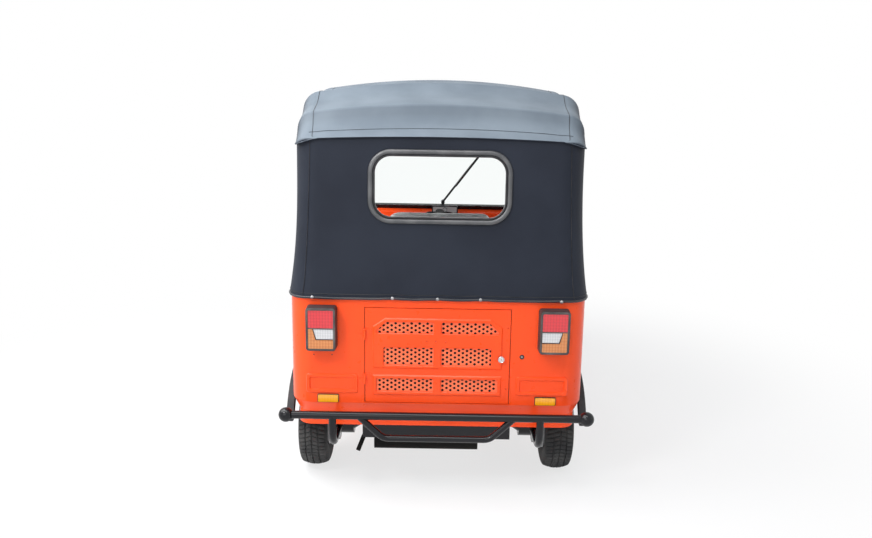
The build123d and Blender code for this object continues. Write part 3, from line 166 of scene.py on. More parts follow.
# Each kind of finish: grain takes a scale and a detail, spread and mottle the ends of a range
def paintFinish(name, look):
    finish = Finish(name, {
        "Coat Weight": look["coat"], "Coat Roughness": 0.06, "Specular IOR Level": look["shine"],
    })
    broad = finish.grain(1.7, 2.0)
    low = finish.spread(finish.upward(finish.place), look["dustTop"], look["dustTop"] - look["dustFade"])
    dirt = low * finish.spread(finish.grain(9.0, 6.0), 0.42, 0.72)
    clean = finish.mottle(broad, 0.35, 0.65, look["colour"], look["shade"])
    finish.wear(
        Base_Color=finish.blend(dirt * look["dustiness"], clean, look["dust"]),
        Roughness=look["rough"] + finish.grain(30.0, 4.0) * 0.10 + dirt * 0.25,
    )
    finish.relief(finish.grain(260.0, 1.0) + broad * 0.6, strength=0.10, depth=0.25)
    return finish


def rubberFinish(name, look):
    finish = Finish(name, {"Specular IOR Level": look.get("shine", 0.3)})
    cloud = finish.spread(finish.grain(14.0, 5.0), 0.35, 0.75)
    finish.wear(
        Base_Color=finish.blend(cloud * look["dustiness"], look["colour"], look["dust"]),
        Roughness=look["rough"] + finish.grain(60.0, 3.0) * 0.15,
    )
    finish.relief(finish.grain(look["grain"], 3.0), strength=0.25, depth=0.3)
    return finish


def metalFinish(name, look):
    finish = Finish(name, {"Metallic": look["metal"]})
    smear = finish.grain(24.0, 4.0)
    finish.wear(
        Base_Color=finish.mottle(smear, 0.3, 0.7, look["colour"], look["shade"]),
        Roughness=look["rough"] + smear * 0.16,
    )
    finish.relief(finish.grain(look["grain"], 2.0), look["relief"], depth=0.3)
    return finish


def lensFinish(name, look):
    finish = Finish(name, {"Coat Weight": 0.8, "Coat Roughness": 0.04, "Specular IOR Level": 0.6})
    flutes = finish.waves("X", look["flutes"]) * 0.6 + finish.waves("Z", look["flutes"] * 0.9) * 0.4
    finish.wear(
        Base_Color=finish.blend(finish.spread(flutes, 0.1, 0.9) * 0.55, look["colour"], look["deep"]),
        Roughness=0.10 + finish.grain(40.0) * 0.12,
    )
    finish.relief(flutes, strength=0.35, depth=0.8)
    return finish


def canvasFinish(name, look):
    finish = Finish(name, {"Specular IOR Level": 0.20})
    facing = finish.node("ShaderNodeNewGeometry", out="Normal")
    # painted sky sheen: the more a face points up, the more its colour goes from the cloth's own dark tones to the
    # pale tones, standing in for the sky's reflection on the coated canvas
    sky = finish.spread(finish.upward(facing), look["sheenFrom"], look["sheenTo"])
    cloud = finish.grain(3.2, 3.0)
    streak = finish.grain(5.0, 4.0, (1.0, 1.0, 0.25))
    dull = finish.mottle(cloud, 0.3, 0.7, look["dark"], look["blue"])
    # the pale tones of the painted sky sheen, mottled in streaks
    paintedSheen = finish.mottle(streak, 0.25, 0.75, look["dimSheen"], look["pale"])
    weave = finish.cells("F1", look["weave"])
    finish.wear(
        Base_Color=finish.blend(sky, dull, paintedSheen),
        Roughness=0.46 + cloud * 0.14 + finish.grain(90.0) * 0.08,
    )
    finish.relief(weave * 0.5 + finish.grain(240.0, 2.0) * 0.5 + streak * 0.8, strength=0.16, depth=0.5)
    return finish


def vinylFinish(name, look):
    finish = Finish(name, {"Specular IOR Level": 0.45})
    finish.wear(
        Base_Color=finish.mottle(finish.grain(6.0, 4.0), 0.3, 0.7, look["colour"], look["shade"]),
        Roughness=look["rough"] + finish.grain(20.0, 4.0) * 0.18,
    )
    crease = finish.spread(finish.cells("DISTANCE_TO_EDGE", 420.0), 0.0, 0.25)
    finish.relief(crease, strength=0.22, depth=0.4)
    return finish


def glassFinish(name, look):
    finish = Finish(name, {
        "Transmission Weight": 1.0, "IOR": 1.02, "Specular IOR Level": 0.6, "Base Color": look["colour"],
    })
    smear = finish.spread(finish.grain(5.0, 5.0, (1.0, 1.0, 0.4)), 0.35, 0.8)
    finish.wear(Roughness=smear * look["smear"])
    return finish


paintLook = {
    "colour": tone(0.95, 0.082, 0.013), "shade": tone(0.92, 0.072, 0.010), "dust": tone(0.66, 0.045, 0.010),
    "dustTop": 0.50, "dustFade": 0.28, "dustiness": 0.30, "rough": 0.24, "coat": 0.10, "shine": 0.22,
}
# painted light: the grille plates take a paler copy of the body paint, so that they look lit lighter than the door
grillePaintedLightLook = dict(
    paintLook, colour=tone(0.97, 0.20, 0.085), shade=tone(0.94, 0.165, 0.065), dustTop=0.30,
)
blackPaintLook = {
    "colour": tone(0.004, 0.004, 0.006), "shade": tone(0.007, 0.007, 0.009), "dust": tone(0.022, 0.020, 0.019),
    "dustTop": 0.28, "dustFade": 0.28, "dustiness": 0.35, "rough": 0.12, "coat": 0.0, "shine": 0.34,
}
hotBlackLook = dict(
    blackPaintLook, colour=tone(0.006, 0.006, 0.006), shade=tone(0.011, 0.010, 0.009),
    dust=tone(0.035, 0.026, 0.020), dustTop=0.30, rough=0.50, shine=0.08,
)
tyreLook = {
    "colour": tone(0.030, 0.030, 0.031), "dust": tone(0.095, 0.092, 0.088), "dustiness": 0.6, "rough": 0.68,
    "grain": 340.0,
}
rubberLook = {
    "colour": tone(0.018, 0.018, 0.020), "dust": tone(0.05, 0.05, 0.055), "dustiness": 0.4, "rough": 0.42,
    "grain": 420.0,
}
plasticLook = {
    "colour": tone(0.022, 0.023, 0.026), "dust": tone(0.055, 0.055, 0.06), "dustiness": 0.35, "rough": 0.40,
    "grain": 700.0,
}
brightLook = {
    "metal": 1.0, "colour": tone(0.78, 0.78, 0.79), "shade": tone(0.66, 0.66, 0.67), "rough": 0.10,
    "grain": 180.0, "relief": 0.03,
}
castLook = {
    "metal": 0.9, "colour": tone(0.42, 0.42, 0.43), "shade": tone(0.26, 0.26, 0.26), "rough": 0.42,
    "grain": 320.0, "relief": 0.4,
}
rimLook = {
    "metal": 0.55, "colour": tone(0.40, 0.40, 0.41), "shade": tone(0.30, 0.30, 0.30), "rough": 0.32,
    "grain": 240.0, "relief": 0.08,
}
redLook = {"colour": tone(0.66, 0.018, 0.030), "deep": tone(0.40, 0.006, 0.014), "flutes": 26.0}
amberLook = {"colour": tone(0.60, 0.215, 0.055), "deep": tone(0.42, 0.115, 0.020), "flutes": 26.0}
clearLook = {"colour": tone(0.60, 0.60, 0.61), "deep": tone(0.40, 0.41, 0.42), "flutes": 30.0}
reflectorLook = {"colour": tone(0.96, 0.42, 0.004), "deep": tone(0.85, 0.30, 0.002), "flutes": 26.0}
# dark and blue are the cloth's own tones; the two pale tones are painted sky sheen, laid on faces that point up
# between the two heights of the normal
canvasLook = {
    "dark": tone(0.011, 0.014, 0.023), "blue": tone(0.016, 0.020, 0.031), "pale": tone(0.150, 0.181, 0.213),
    "dimSheen": tone(0.112, 0.138, 0.167), "sheenFrom": 0.10, "sheenTo": 0.95, "weave": 620.0,
}
glassLook = {"colour": tone(0.97, 0.985, 0.98), "smear": 0.02}
vinylLook = {"colour": tone(0.020, 0.020, 0.023), "shade": tone(0.036, 0.036, 0.040), "rough": 0.38}

finishes = {
    "body_paint": paintFinish("bodyPaint", paintLook),
    "grille_paint": paintFinish("grillePaint", grillePaintedLightLook),
    "black_paint": paintFinish("blackPaint", blackPaintLook),
    "hot_black": paintFinish("exhaustBlack", hotBlackLook),
    "tyre": rubberFinish("tyreRubber", tyreLook),
    "black_rubber": rubberFinish("blackRubber", rubberLook),
    "black_plastic": rubberFinish("blackPlastic", plasticLook),
    "bright_metal": metalFinish("brightMetal", brightLook),
    "cast_alloy": metalFinish("castAlloy", castLook),
    "rim_steel": metalFinish("rimPaint", rimLook),
    "red_lens": lensFinish("redLens", redLook),
    "amber_lens": lensFinish("amberLens", amberLook),
    "clear_lens": lensFinish("clearLens", clearLook),
    "canvas": canvasFinish("hoodCanvas", canvasLook),
    "clear_glass": glassFinish("paneGlass", glassLook),
    "seat_vinyl": vinylFinish("seatVinyl", vinylLook),
}
ownFinishes = {"rear_reflectors": lensFinish("reflectorLens", reflectorLook)}
for row in frame["record"]["subparts"]:
    mesh = nodes[row["node"]].data
    mesh.materials.clear()
    mesh.materials.append(ownFinishes.get(row["node"], finishes[row["material_slot"]]).material)


# Making and keeping pieces
def placed(name, mesh, smooth=35.0):
    mesh.name = name
    if smooth:
        mesh.shade_smooth()
        mesh.set_sharp_from_angle(angle=math.radians(smooth))
    piece = bpy.data.objects.new(name, mesh)
    scene.collection.objects.link(piece)
    return piece


def outward(mesh, merge=0.0001):
    work = bmesh.new()
    work.from_mesh(mesh)
    loose = [vert for vert in work.verts if not vert.link_faces]
    bmesh.ops.delete(work, geom=loose, context="VERTS")
    bmesh.ops.remove_doubles(work, verts=work.verts, dist=merge)
    bmesh.ops.recalc_face_normals(work, faces=work.faces)
    work.to_mesh(mesh)
    work.free()


def turnedUp(piece, sign, axis):
    # flips a sheet whose faces mostly point the wrong way
    if sign * sum(face.normal[axis] * face.area for face in piece.data.polygons) < 0:
        piece.data.flip_normals()


def meshPiece(name, points, faces, finish, smooth=35.0):
    mesh = bpy.data.meshes.new(name)
    mesh.from_pydata([tuple(point) for point in points], [], faces)
    mesh.materials.append(finish.material)
    piece = placed(name, mesh, smooth)
    outward(mesh)
    return piece


def keep(piece, body, slot, *replaced):
    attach(piece, body)
    if replaced:
        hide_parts(*replaced)


def evaluatedMesh(piece):
    ready = piece.evaluated_get(bpy.context.evaluated_depsgraph_get())
    mesh = bpy.data.meshes.new_from_object(ready)
    bpy.data.objects.remove(piece)
    return mesh


def vectors(points):
    return [Vector(point) for point in points]


def gridFaces(rows, columns, closed=False):
    faces = []
    for row in range(rows - 1):
        for column in range(columns if closed else columns - 1):
            beside = (column + 1) % columns
            faces.append((
                row * columns + column, row * columns + beside,
                (row + 1) * columns + beside, (row + 1) * columns + column,
            ))
    return faces


def roundSteps(count):
    return [(math.cos(fullTurn * step / count), math.sin(fullTurn * step / count)) for step in range(count)]


def ringAbout(hub, across, upright, radius, count):
    return [hub + (across * x + upright * z) * radius for x, z in roundSteps(count)]


def ringFacingTail(centre, radius, y, count):
    return [((centre[0] + radius * x) * mm, y, (centre[1] + radius * z) * mm) for x, z in roundSteps(count)]


def tubePiece(name, runs, radius, finish, around=8, loops=()):
    # one tube along each run of points, ends closed, and round each loop
    points, faces = [], []
    for run, closed in [(run, False) for run in runs] + [(loop, True) for loop in loops]:
        path = vectors(run)
        count = len(path)
        across = None
        base = len(points)
        for index, place in enumerate(path):
            after = path[(index + 1) % count] if closed else path[min(index + 1, count - 1)]
            before = path[index - 1] if closed or index else path[0]
            along = (after - before).normalized()
            if across is None:
                across = along.orthogonal().normalized()
            across = (across - along * across.dot(along)).normalized()
            points += ringAbout(place, across, along.cross(across), radius, around)
        for ring in range(count if closed else count - 1):
            here, there = base + ring * around, base + ((ring + 1) % count) * around
            for step in range(around):
                beside = (step + 1) % around
                faces.append((here + step, there + step, there + beside, here + beside))
        if not closed:
            faces.append(tuple(range(base, base + around)))
            faces.append(tuple(reversed(range(len(points) - around, len(points)))))
    return meshPiece(name, points, faces, finish, 60.0)


def prismPiece(name, outlines, front, back, finish):
    # flat plates facing the tail, one for each outline
    points, faces = [], []
    for outline in outlines:
        base, count = len(points), len(outline)
        points += [(x * mm, ahead(depth), z * mm) for depth in (front, back) for x, z in outline]
        near, far = range(base, base + count), range(base + count, base + 2 * count)
        faces += [tuple(near), tuple(reversed(far))]
        faces += [(near[i - 1], near[i], far[i], far[i - 1]) for i in range(count)]
    return meshPiece(name, points, faces, finish, None)


def discPiece(name, centre, profile, finish, steps=24):
    # a profile of radius and height over the tail, turned about a fore-and-aft axis
    points = [
        point for radius, proud in profile for point in ringFacingTail(centre, radius, ahead(-proud), steps)
    ]
    faces = gridFaces(len(profile), steps, closed=True)
    faces += [tuple(range(steps)), tuple(reversed(range(len(points) - steps, len(points))))]
    return meshPiece(name, points, faces, finish)


def roundedPath(halfX, halfZ, corner, steps=14):
    path = []
    for quarter, (signX, signZ) in enumerate(((1, 1), (-1, 1), (-1, -1), (1, -1))):
        for turn in np.linspace(0, math.pi / 2, steps):
            angle = quarter * math.pi / 2 + turn
            outX, outZ = math.cos(angle), math.sin(angle)
            x, z = signX * (halfX - corner), signZ * (halfZ - corner)
            path.append((x + outX * corner, z + outZ * corner, outX, outZ))
    return path


def framePiece(name, path, section, place, finish, smooth=40.0):
    # a section swept round a closed path; place turns (across, rise, proud) into a point
    points = [place(x + outX * out, z + outZ * out, proud) for x, z, outX, outZ in path for out, proud in section]
    count, width = len(path), len(section)
    faces = []
    for index in range(count):
        here, there = index * width, (index + 1) % count * width
        faces += [(here + step, there + step, there + step + 1, here + step + 1) for step in range(width - 1)]
    piece = meshPiece(name, points, faces, finish, smooth)
    if section[0] != section[-1]:
        turnedUp(piece, -1, 1)
    return piece


def onTail(centre, front):
    return lambda across, rise, proud: ((centre[0] + across) * mm, ahead(front - proud), (centre[1] + rise) * mm)


class Kit(Graph):
    def __init__(self, name, sizes):
        tree = bpy.data.node_groups.new(name, "GeometryNodeTree")
        super().__init__(tree)
        for way in ("OUTPUT", "INPUT"):
            tree.interface.new_socket("Geometry", in_out=way, socket_type="NodeSocketGeometry")
        self.sizes = []
        for label, value in sizes.items():
            kind = "NodeSocketInt" if isinstance(value, int) else "NodeSocketFloat"
            self.sizes.append((tree.interface.new_socket(label, in_out="INPUT", socket_type=kind), value))
        self.given = tree.nodes.new("NodeGroupInput")

    def size(self, label):
        return Wire(self, self.given.outputs[label])

    def cylinder(self, vertices, radius, depth, fill="NGON"):
        sockets = {"Vertices": vertices, "Radius": radius, "Depth": depth}
        return self.node("GeometryNodeMeshCylinder", {"fill_type": fill}, sockets)

    def circle(self, vertices, radius):
        sockets = {"Vertices": vertices, "Radius": radius}
        return self.node("GeometryNodeMeshCircle", {"fill_type": "NONE"}, sockets)

    def turned(self, angles):
        return self.node("FunctionNodeEulerToRotation", {}, {0: angles})

    def turnedEvenly(self, axis, count):
        angle = self.node("GeometryNodeInputIndex") / count * fullTurn
        return self.turned(self.node("ShaderNodeCombineXYZ", {}, {axis: angle}))

    def instances(self, points, shape, **rotation):
        sockets = {"Points": points, "Instance": shape, **rotation}
        return self.node("GeometryNodeInstanceOnPoints", {}, sockets)

    def close(self, geometry, finish):
        whole = self.node("GeometryNodeRealizeInstances", {}, {0: geometry})
        sockets = {"Geometry": whole, "Material": finish.material}
        self.output("NodeGroupOutput", self.node("GeometryNodeSetMaterial", {}, sockets))

    def make(self, name, base, smooth=35.0):
        modifier = base.modifiers.new("kit", "NODES")
        modifier.node_group = self.tree
        for socket, value in self.sizes:
            modifier[socket.identifier] = value
        return placed(name, evaluatedMesh(base), smooth)


def pathObject(runs):
    points, edges = [], []
    for run in runs:
        base = len(points)
        points += [tuple(point) for point in run]
        edges += [(base + step, base + step + 1) for step in range(len(run) - 1)]
    mesh = bpy.data.meshes.new("path")
    mesh.from_pydata(points, edges, [])
    return placed("path", mesh, None)


stitchLook = {"spacing": 7.0, "length": 4.6, "thread": 0.55}


def stitchLine(name, runs, finish):
    kit = Kit("stitching", {key.capitalize(): value * mm for key, value in stitchLook.items()})
    curve = kit.node("GeometryNodeMeshToCurve", {}, {0: kit.size("Geometry")})
    sockets = {"Curve": curve, "Length": kit.size("Spacing")}
    spots = kit.node("GeometryNodeCurveToPoints", {"mode": "LENGTH"}, sockets)
    thread = kit.cylinder(5, kit.size("Thread"), kit.size("Length"), "TRIANGLE_FAN")
    kit.close(kit.instances(spots, thread, Rotation=spots.also("Rotation")), finish)
    return kit.make(name, pathObject(runs), 60.0)


# Camera, light and floor
cameraLook = {
    "place": (0.0, tailY - 3.32, 1.725), "pitch": 12.0, "roll": 0.0165, "lens": 33.85, "shiftX": -0.0032,
}
camera = bpy.data.objects.new("camera", bpy.data.cameras.new("camera"))
scene.collection.objects.link(camera)
camera.data.lens = cameraLook["lens"]
camera.data.shift_x = cameraLook["shiftX"]
camera.location = cameraLook["place"]
camera.rotation_mode = "QUATERNION"
tilt = Quaternion((1, 0, 0), math.radians(90 - cameraLook["pitch"]))
camera.rotation_quaternion = tilt @ Quaternion((0, 0, 1), cameraLook["roll"])
scene.camera = camera
scene.view_settings.view_transform = "Standard"

# each softbox: place, aim, size, power
lightLook = {
    "overhead": ((-3.0, -0.9, 3.7), (0, -0.4, 1.2), (2.8, 3.4), 150.0),
    "behindCamera": ((-1.8, -5.6, 2.6), (0, -1.0, 0.8), (3.2, 2.4), 46.0),
    "key": ((-2.6, -4.0, 4.4), (0, -1.1, 0.9), (1.0, 1.0), 112.0),
    "strip": ((-0.8, -2.1, 4.2), (0, -1.1, 0.9), (4.6, 0.9), 95.0),
    "fillRight": ((4.2, -2.2, 1.9), (0, -0.6, 0.8), (2.2, 2.2), 5.0),
    "fillFront": ((-2.4, 4.6, 2.6), (0, 0.6, 0.8), (2.6, 2.2), 12.5),
}
for name, (place, aim, size, power) in lightLook.items():
    lamp = bpy.data.lights.new(name, "AREA")
    lamp.shape = "RECTANGLE"
    lamp.size, lamp.size_y = size
    lamp.energy = power
    holder = bpy.data.objects.new(name, lamp)
    holder.location = place
    holder.rotation_euler = (Vector(aim) - Vector(place)).to_track_quat("-Z", "Y").to_euler()
    scene.collection.objects.link(holder)


def seenRays(graph):
    rays = graph.node("ShaderNodeLightPath", out="Is Camera Ray")
    glass = rays.also("Is Glossy Ray").maths("MAXIMUM", rays.also("Is Transmission Ray"))
    return rays.maths("MAXIMUM", glass)


skyLook = {"colour": tone(0.92, 0.96, 1.0), "side": 0.32, "top": 0.62, "from": -0.1, "to": 0.8}
scene.world = blank(bpy.data.worlds.new("studio"))
sky = Graph(scene.world.node_tree)
upwards = sky.upward(sky.node("ShaderNodeTexCoord", out="Generated"))
skyLevel = sky.spread(upwards, skyLook["from"], skyLook["to"], skyLook["side"], skyLook["top"])
whitePaper = sky.node("ShaderNodeBackground", {}, {"Color": tone(1, 1, 1), "Strength": 1.0})
softSky = sky.node("ShaderNodeBackground", {}, {"Color": skyLook["colour"], "Strength": skyLevel})
either = sky.node("ShaderNodeMixShader", {}, {0: seenRays(sky), 1: softSky, 2: whitePaper})
sky.output("ShaderNodeOutputWorld", either)

floorLook = {"colour": tone(0.78, 0.78, 0.79), "reach": 14.0, "fadeFrom": 1.2, "fadeTo": 3.2, "lift": 0.72}
floorMaterial = blank(bpy.data.materials.new("paleFloor"))
ground = Graph(floorMaterial.node_tree)
floorPlace = ground.node("ShaderNodeTexCoord", out="Object")
fromMiddle = ground.node("ShaderNodeVectorMath", {"operation": "LENGTH"}, {0: floorPlace}, "Value")
fade = ground.spread(fromMiddle, floorLook["fadeFrom"], floorLook["fadeTo"], floorLook["lift"])
matte = ground.node("ShaderNodeBsdfDiffuse", {}, {"Color": floorLook["colour"]})
paper = ground.node("ShaderNodeEmission", {}, {"Color": tone(1, 1, 1), "Strength": 1.0})
floorMix = ground.node("ShaderNodeMixShader", {}, {0: fade * seenRays(ground), 1: matte, 2: paper})
ground.output("ShaderNodeOutputMaterial", floorMix)
floorMesh = bpy.data.meshes.new("studioFloor")
floorCorners = [(x * floorLook["reach"], y * floorLook["reach"], 0) for x, y in ((-1, -1), (1, -1), (1, 1), (-1, 1))]
floorMesh.from_pydata(floorCorners, [], [(0, 1, 2, 3)])
floorMesh.materials.append(floorMaterial)
placed("studioFloor", floorMesh, None)
print("camera, light and floor")


# Hood: one sheet of coated canvas over the bows
hoodLook = {
    "stations": [          # ahead of the tail, crown, half width, shoulder, drop
        (14, 1557, 598, 70, 13), (200, 1684, 608, 75, 35), (480, 1778, 628, 85, 45),
        (900, 1797, 632, 90, 45), (1500, 1780, 600, 90, 42), (1890, 1715, 565, 80, 40),
    ],
    "planHalf": 642, "planCorner": 140, "valance": 1556, "valanceDrop": 21, "valanceReach": 660,
    "cornerDip": 20, "dipFrom": 500, "dipTo": 606, "cloth": 2.0, "crease": 3,
    "sag": (19.0, 16.0, 9.0, 8.0, 5.0), "sagForward": 1.45,
    "columns": 64, "step": 24, "cornerRows": 17, "besideBow": 7, "crownSteps": 40, "shoulderSteps": 24,
    "dropSteps": 12, "soften": 2, "softShare": 0.6, "softRear": 1.15, "softFade": 130, "softLeast": 0.05,
    "pucker": 3.0, "puckerAcross": (0.38, 0.56), "puckerFrom": (16, 50), "puckerTo": (150, 420),
    "puckerGrain": (16, 5), "puckerSlice": 2.0, "seamPlaces": ([40, 200, 480, 1890], [523, 540, 553, 500]),
    "seamRow": 5, "seamColumns": 56, "seamRadius": 1.2, "seamProud": 0.2, "dripSeam": 73, "dripReach": 0.545,
    "dripProud": 0.6, "dripStitch": (0, -6, -4), "frontStitch": (0, 0, 1), "hemRadius": 2.6,
}
seamFinish = rubberFinish("seamThread", dict(rubberLook, colour=tone(0.010, 0.011, 0.014)))
pipingFinish = vinylFinish("hemPiping", dict(vinylLook, colour=tone(0.013, 0.015, 0.021), rough=0.26))
stations = np.array(hoodLook["stations"], float)
rearEdge, frontEdge = stations[0, 0], stations[-1, 0]


def hoodSize(distance, column):
    offsets = np.linspace(-1.0, 1.0, 5) * hoodLook["crease"]
    return float(np.interp(distance + offsets, stations[:, 0], stations[:, column]).mean())


def hoodSag(distance):
    index = int(np.clip(np.searchsorted(stations[:, 0], distance) - 1, 0, len(stations) - 2))
    start, end = stations[index:index + 2, 0]
    share = min(max((distance - start) / (end - start), 0.0), 1.0)
    return hoodLook["sag"][index] * math.sin(math.pi * share ** hoodLook["sagForward"])


def valanceAt(x):
    bow = hoodLook["valanceDrop"] * (x / hoodLook["valanceReach"]) ** 2
    return hoodLook["valance"] - bow - hoodLook["cornerDip"] * eased(abs(x), hoodLook["dipFrom"], hoodLook["dipTo"])


def evenly(line, count):
    line = np.array(line)
    run = np.concatenate([[0], np.cumsum(np.linalg.norm(np.diff(line, axis=0), axis=1))])
    wanted = np.linspace(0, run[-1], count)
    return np.stack([np.interp(wanted, run, line[:, axis]) for axis in range(line.shape[1])], axis=1)


def longestRun(rows):
    return max(sum(math.dist(*pair) for pair in zip(row, row[1:])) for row in rows)


def hoodOutline(distance):
    crown, half, shoulder, drop = [hoodSize(distance, column) for column in (1, 2, 3, 4)]
    crown -= hoodSag(distance)
    corner = hoodLook["planCorner"]
    into = min(max(distance - rearEdge, 0.0), corner)
    planHalf = hoodLook["planHalf"] - corner + math.sqrt(corner ** 2 - (corner - into) ** 2)
    end = min(half, planHalf)
    flat = half - shoulder
    line = [(x, crown - drop * (x / flat) ** 2) for x in np.linspace(0, min(flat, end), hoodLook["crownSteps"])]
    for turn in np.linspace(0.05, math.pi / 2, hoodLook["shoulderSteps"]):
        x = flat + shoulder * math.sin(turn)
        if x < end:
            line.append((x, crown - drop - shoulder * (1 - math.cos(turn))))
    below = [index for index, (x, z) in enumerate(line) if z < valanceAt(x)]
    if below:
        (x, z), (lowX, lowZ) = line[below[0] - 1], line[below[0]]
        share = (z - valanceAt(x)) / (z - lowZ)
        line = line[:below[0]] + [(mix(x, lowX, share), mix(z, lowZ, share))]
    else:
        x, z = line[-1]
        line += [(x, lower) for lower in np.linspace(z, valanceAt(x), hoodLook["dropSteps"])[1:]]
    return evenly(line, hoodLook["columns"] + 1)


cornerTurns = np.radians(np.linspace(0, 90, hoodLook["cornerRows"]))
cornerRows = rearEdge + hoodLook["planCorner"] * (1 - np.cos(cornerTurns))
plainRows = np.arange(cornerRows[-1] + hoodLook["step"] / 2, frontEdge, hoodLook["step"])
bowRows = [place + shift * hoodLook["besideBow"] for place in stations[1:-1, 0] for shift in (-1, 0, 1)]
hoodRows = sorted({round(float(row), 2) for row in [*cornerRows, *plainRows, *bowRows, frontEdge]})
hoodGrid = []
for distance in hoodRows:
    half = hoodOutline(distance)
    whole = np.concatenate([half[:0:-1] * (-1, 1), half])
    hoodGrid.append([(x * mm, ahead(distance), z * mm) for x, z in whole])
hoodGrid = np.array(hoodGrid)
softer = hoodLook["softRear"] - (np.array(hoodRows) - rearEdge) / hoodLook["softFade"]
softer = hoodLook["softShare"] * np.clip(softer, hoodLook["softLeast"], 1.0)[1:-1, None, None]
for turn in range(hoodLook["soften"]):
    middle = (hoodGrid[:-2, 1:-1] + hoodGrid[2:, 1:-1] + hoodGrid[1:-1, :-2] + hoodGrid[1:-1, 2:]) / 4
    hoodGrid[1:-1, 1:-1] += (middle - hoodGrid[1:-1, 1:-1]) * softer
for row, distance in enumerate(hoodRows):          # slack puckers near the rear corners
    share = (1 - eased(distance, *hoodLook["puckerTo"])) * eased(distance, *hoodLook["puckerFrom"])
    for point in hoodGrid[row]:
        near = eased(abs(point[0]), *hoodLook["puckerAcross"]) * share
        spot = Vector((*(point[:2] * hoodLook["puckerGrain"]), hoodLook["puckerSlice"]))
        point[2] += near * hoodLook["pucker"] * mm * noise.noise(spot)
hoodRowCount, hoodColumnCount = hoodGrid.shape[:2]


def clothSkin(piece, thickness):
    skin = piece.modifiers.new("cloth", "SOLIDIFY")
    skin.thickness = thickness * mm
    skin.offset = -1.0


hoodSheet = meshPiece(
    "hoodSheet", hoodGrid.reshape(-1, 3), gridFaces(hoodRowCount, hoodColumnCount), finishes["canvas"], 80.0
)
turnedUp(hoodSheet, 1, 2)
clothSkin(hoodSheet, hoodLook["cloth"])
keep(hoodSheet, "body", "canvas", "hood_top")


def hoodNormal(row, column):
    before, after = max(row - 1, 0), min(row + 1, hoodRowCount - 1)
    left, right = max(column - 1, 0), min(column + 1, hoodColumnCount - 1)
    along = Vector(hoodGrid[after, column] - hoodGrid[before, column])
    across = Vector(hoodGrid[row, right] - hoodGrid[row, left])
    return across.cross(along).normalized()


def shifted(run, offset):
    return [point + Vector(offset) * mm for point in run]


hoodEdge = vectors([*hoodGrid[::-1, 0], *hoodGrid[0, 1:-1], *hoodGrid[:, -1]])
hoodHem = tubePiece("hoodHem", [hoodEdge, hoodGrid[-1]], hoodLook["hemRadius"] * mm, finishes["canvas"])
keep(hoodHem, "body", "canvas")
panelRuns = []
tooFar = np.abs(np.arange(hoodColumnCount) - hoodLook["columns"]) > hoodLook["seamColumns"]
for side in (-1, 1):
    run = []
    for row in range(hoodLook["seamRow"], hoodRowCount):
        target = side * np.interp(hoodRows[row], *hoodLook["seamPlaces"]) * mm
        column = int(np.argmin(np.abs(hoodGrid[row, :, 0] - target) + tooFar))
        inner = column - side if abs(hoodGrid[row, column, 0]) > abs(target) else column
        here, beside = Vector(hoodGrid[row, inner]), Vector(hoodGrid[row, inner + side])
        span = beside.x - here.x
        share = 0.0 if abs(span) < 1e-9 else min(max((target - here.x) / span, 0.0), 1.0)
        run.append(here.lerp(beside, share) + hoodNormal(row, inner) * hoodLook["seamProud"] * mm)
    panelRuns.append(run)
dripRow = int(np.argmin(np.abs(np.array(hoodRows) - hoodLook["dripSeam"])))
dripRun = [
    Vector(hoodGrid[dripRow, column]) + hoodNormal(dripRow, column) * hoodLook["dripProud"] * mm
    for column in range(hoodColumnCount) if abs(hoodGrid[dripRow, column, 0]) < hoodLook["dripReach"]
]
hoodSeams = tubePiece("hoodSeams", panelRuns + [dripRun], hoodLook["seamRadius"] * mm, seamFinish, 6)
keep(hoodSeams, "body", "canvas")
stitchRuns = [shifted(dripRun, hoodLook["dripStitch"]), shifted(vectors(hoodGrid[-2]), hoodLook["frontStitch"])]
hoodStitches = stitchLine("hoodStitches", stitchRuns, pipingFinish)
keep(hoodStitches, "body", "canvas")
hoodFlat = (longestRun(hoodGrid), longestRun(hoodGrid.transpose(1, 0, 2)))


# Rear curtain: one sheet round the back and the rear sides, buttoned over the body's top edge
windowLook = {"half": (266, 122.5), "corner": 66, "height": 1356}
curtainLook = {
    "hem": 891, "lap": 900, "top": 1574, "topBack": 21, "hemBack": -6.3, "backCurve": 1.44, "topHalf": 598,
    "hemHalf": 636.3, "halfCurve": 3.0, "topCorner": 100, "hemCorner": 116, "sideEnd": 600, "sideSteps": 30,
    "arcSteps": 14, "backSteps": 92, "hemRows": (0, 5, 10, 17), "firstRow": 28, "rise": 11, "cloth": 2.0,
    "wave": 1.6, "waveFrom": (30, 110), "waveTo": (1420, 1500), "broadFold": 3.0, "fineFold": (14, 10, 2.5),
    "broadShare": 0.7, "fineShare": 0.4, "foldTurn": 120, "foldRate": 4, "seamCurve": 0.5,
    "tuckFrom": 1490, "tuck": 3, "bite": 14, "hemRadius": 5.5, "hemSag": 2.4, "sagReach": 90, "sagRise": 120,
    "studs": [(-525, 894), (-191, 893.5), (-3, 893), (176, 892.7), (513, 890)], "studRadius": 7.0,
    "studProud": 0.5, "studOut": 5.5, "backDepth": 60, "cornerDepth": 118, "seamTop": 528, "seamHem": 572,
    "seamRadius": 1.5, "seamOut": (0.5, -0.6),
}
hem, curtainTop = curtainLook["hem"], curtainLook["top"]


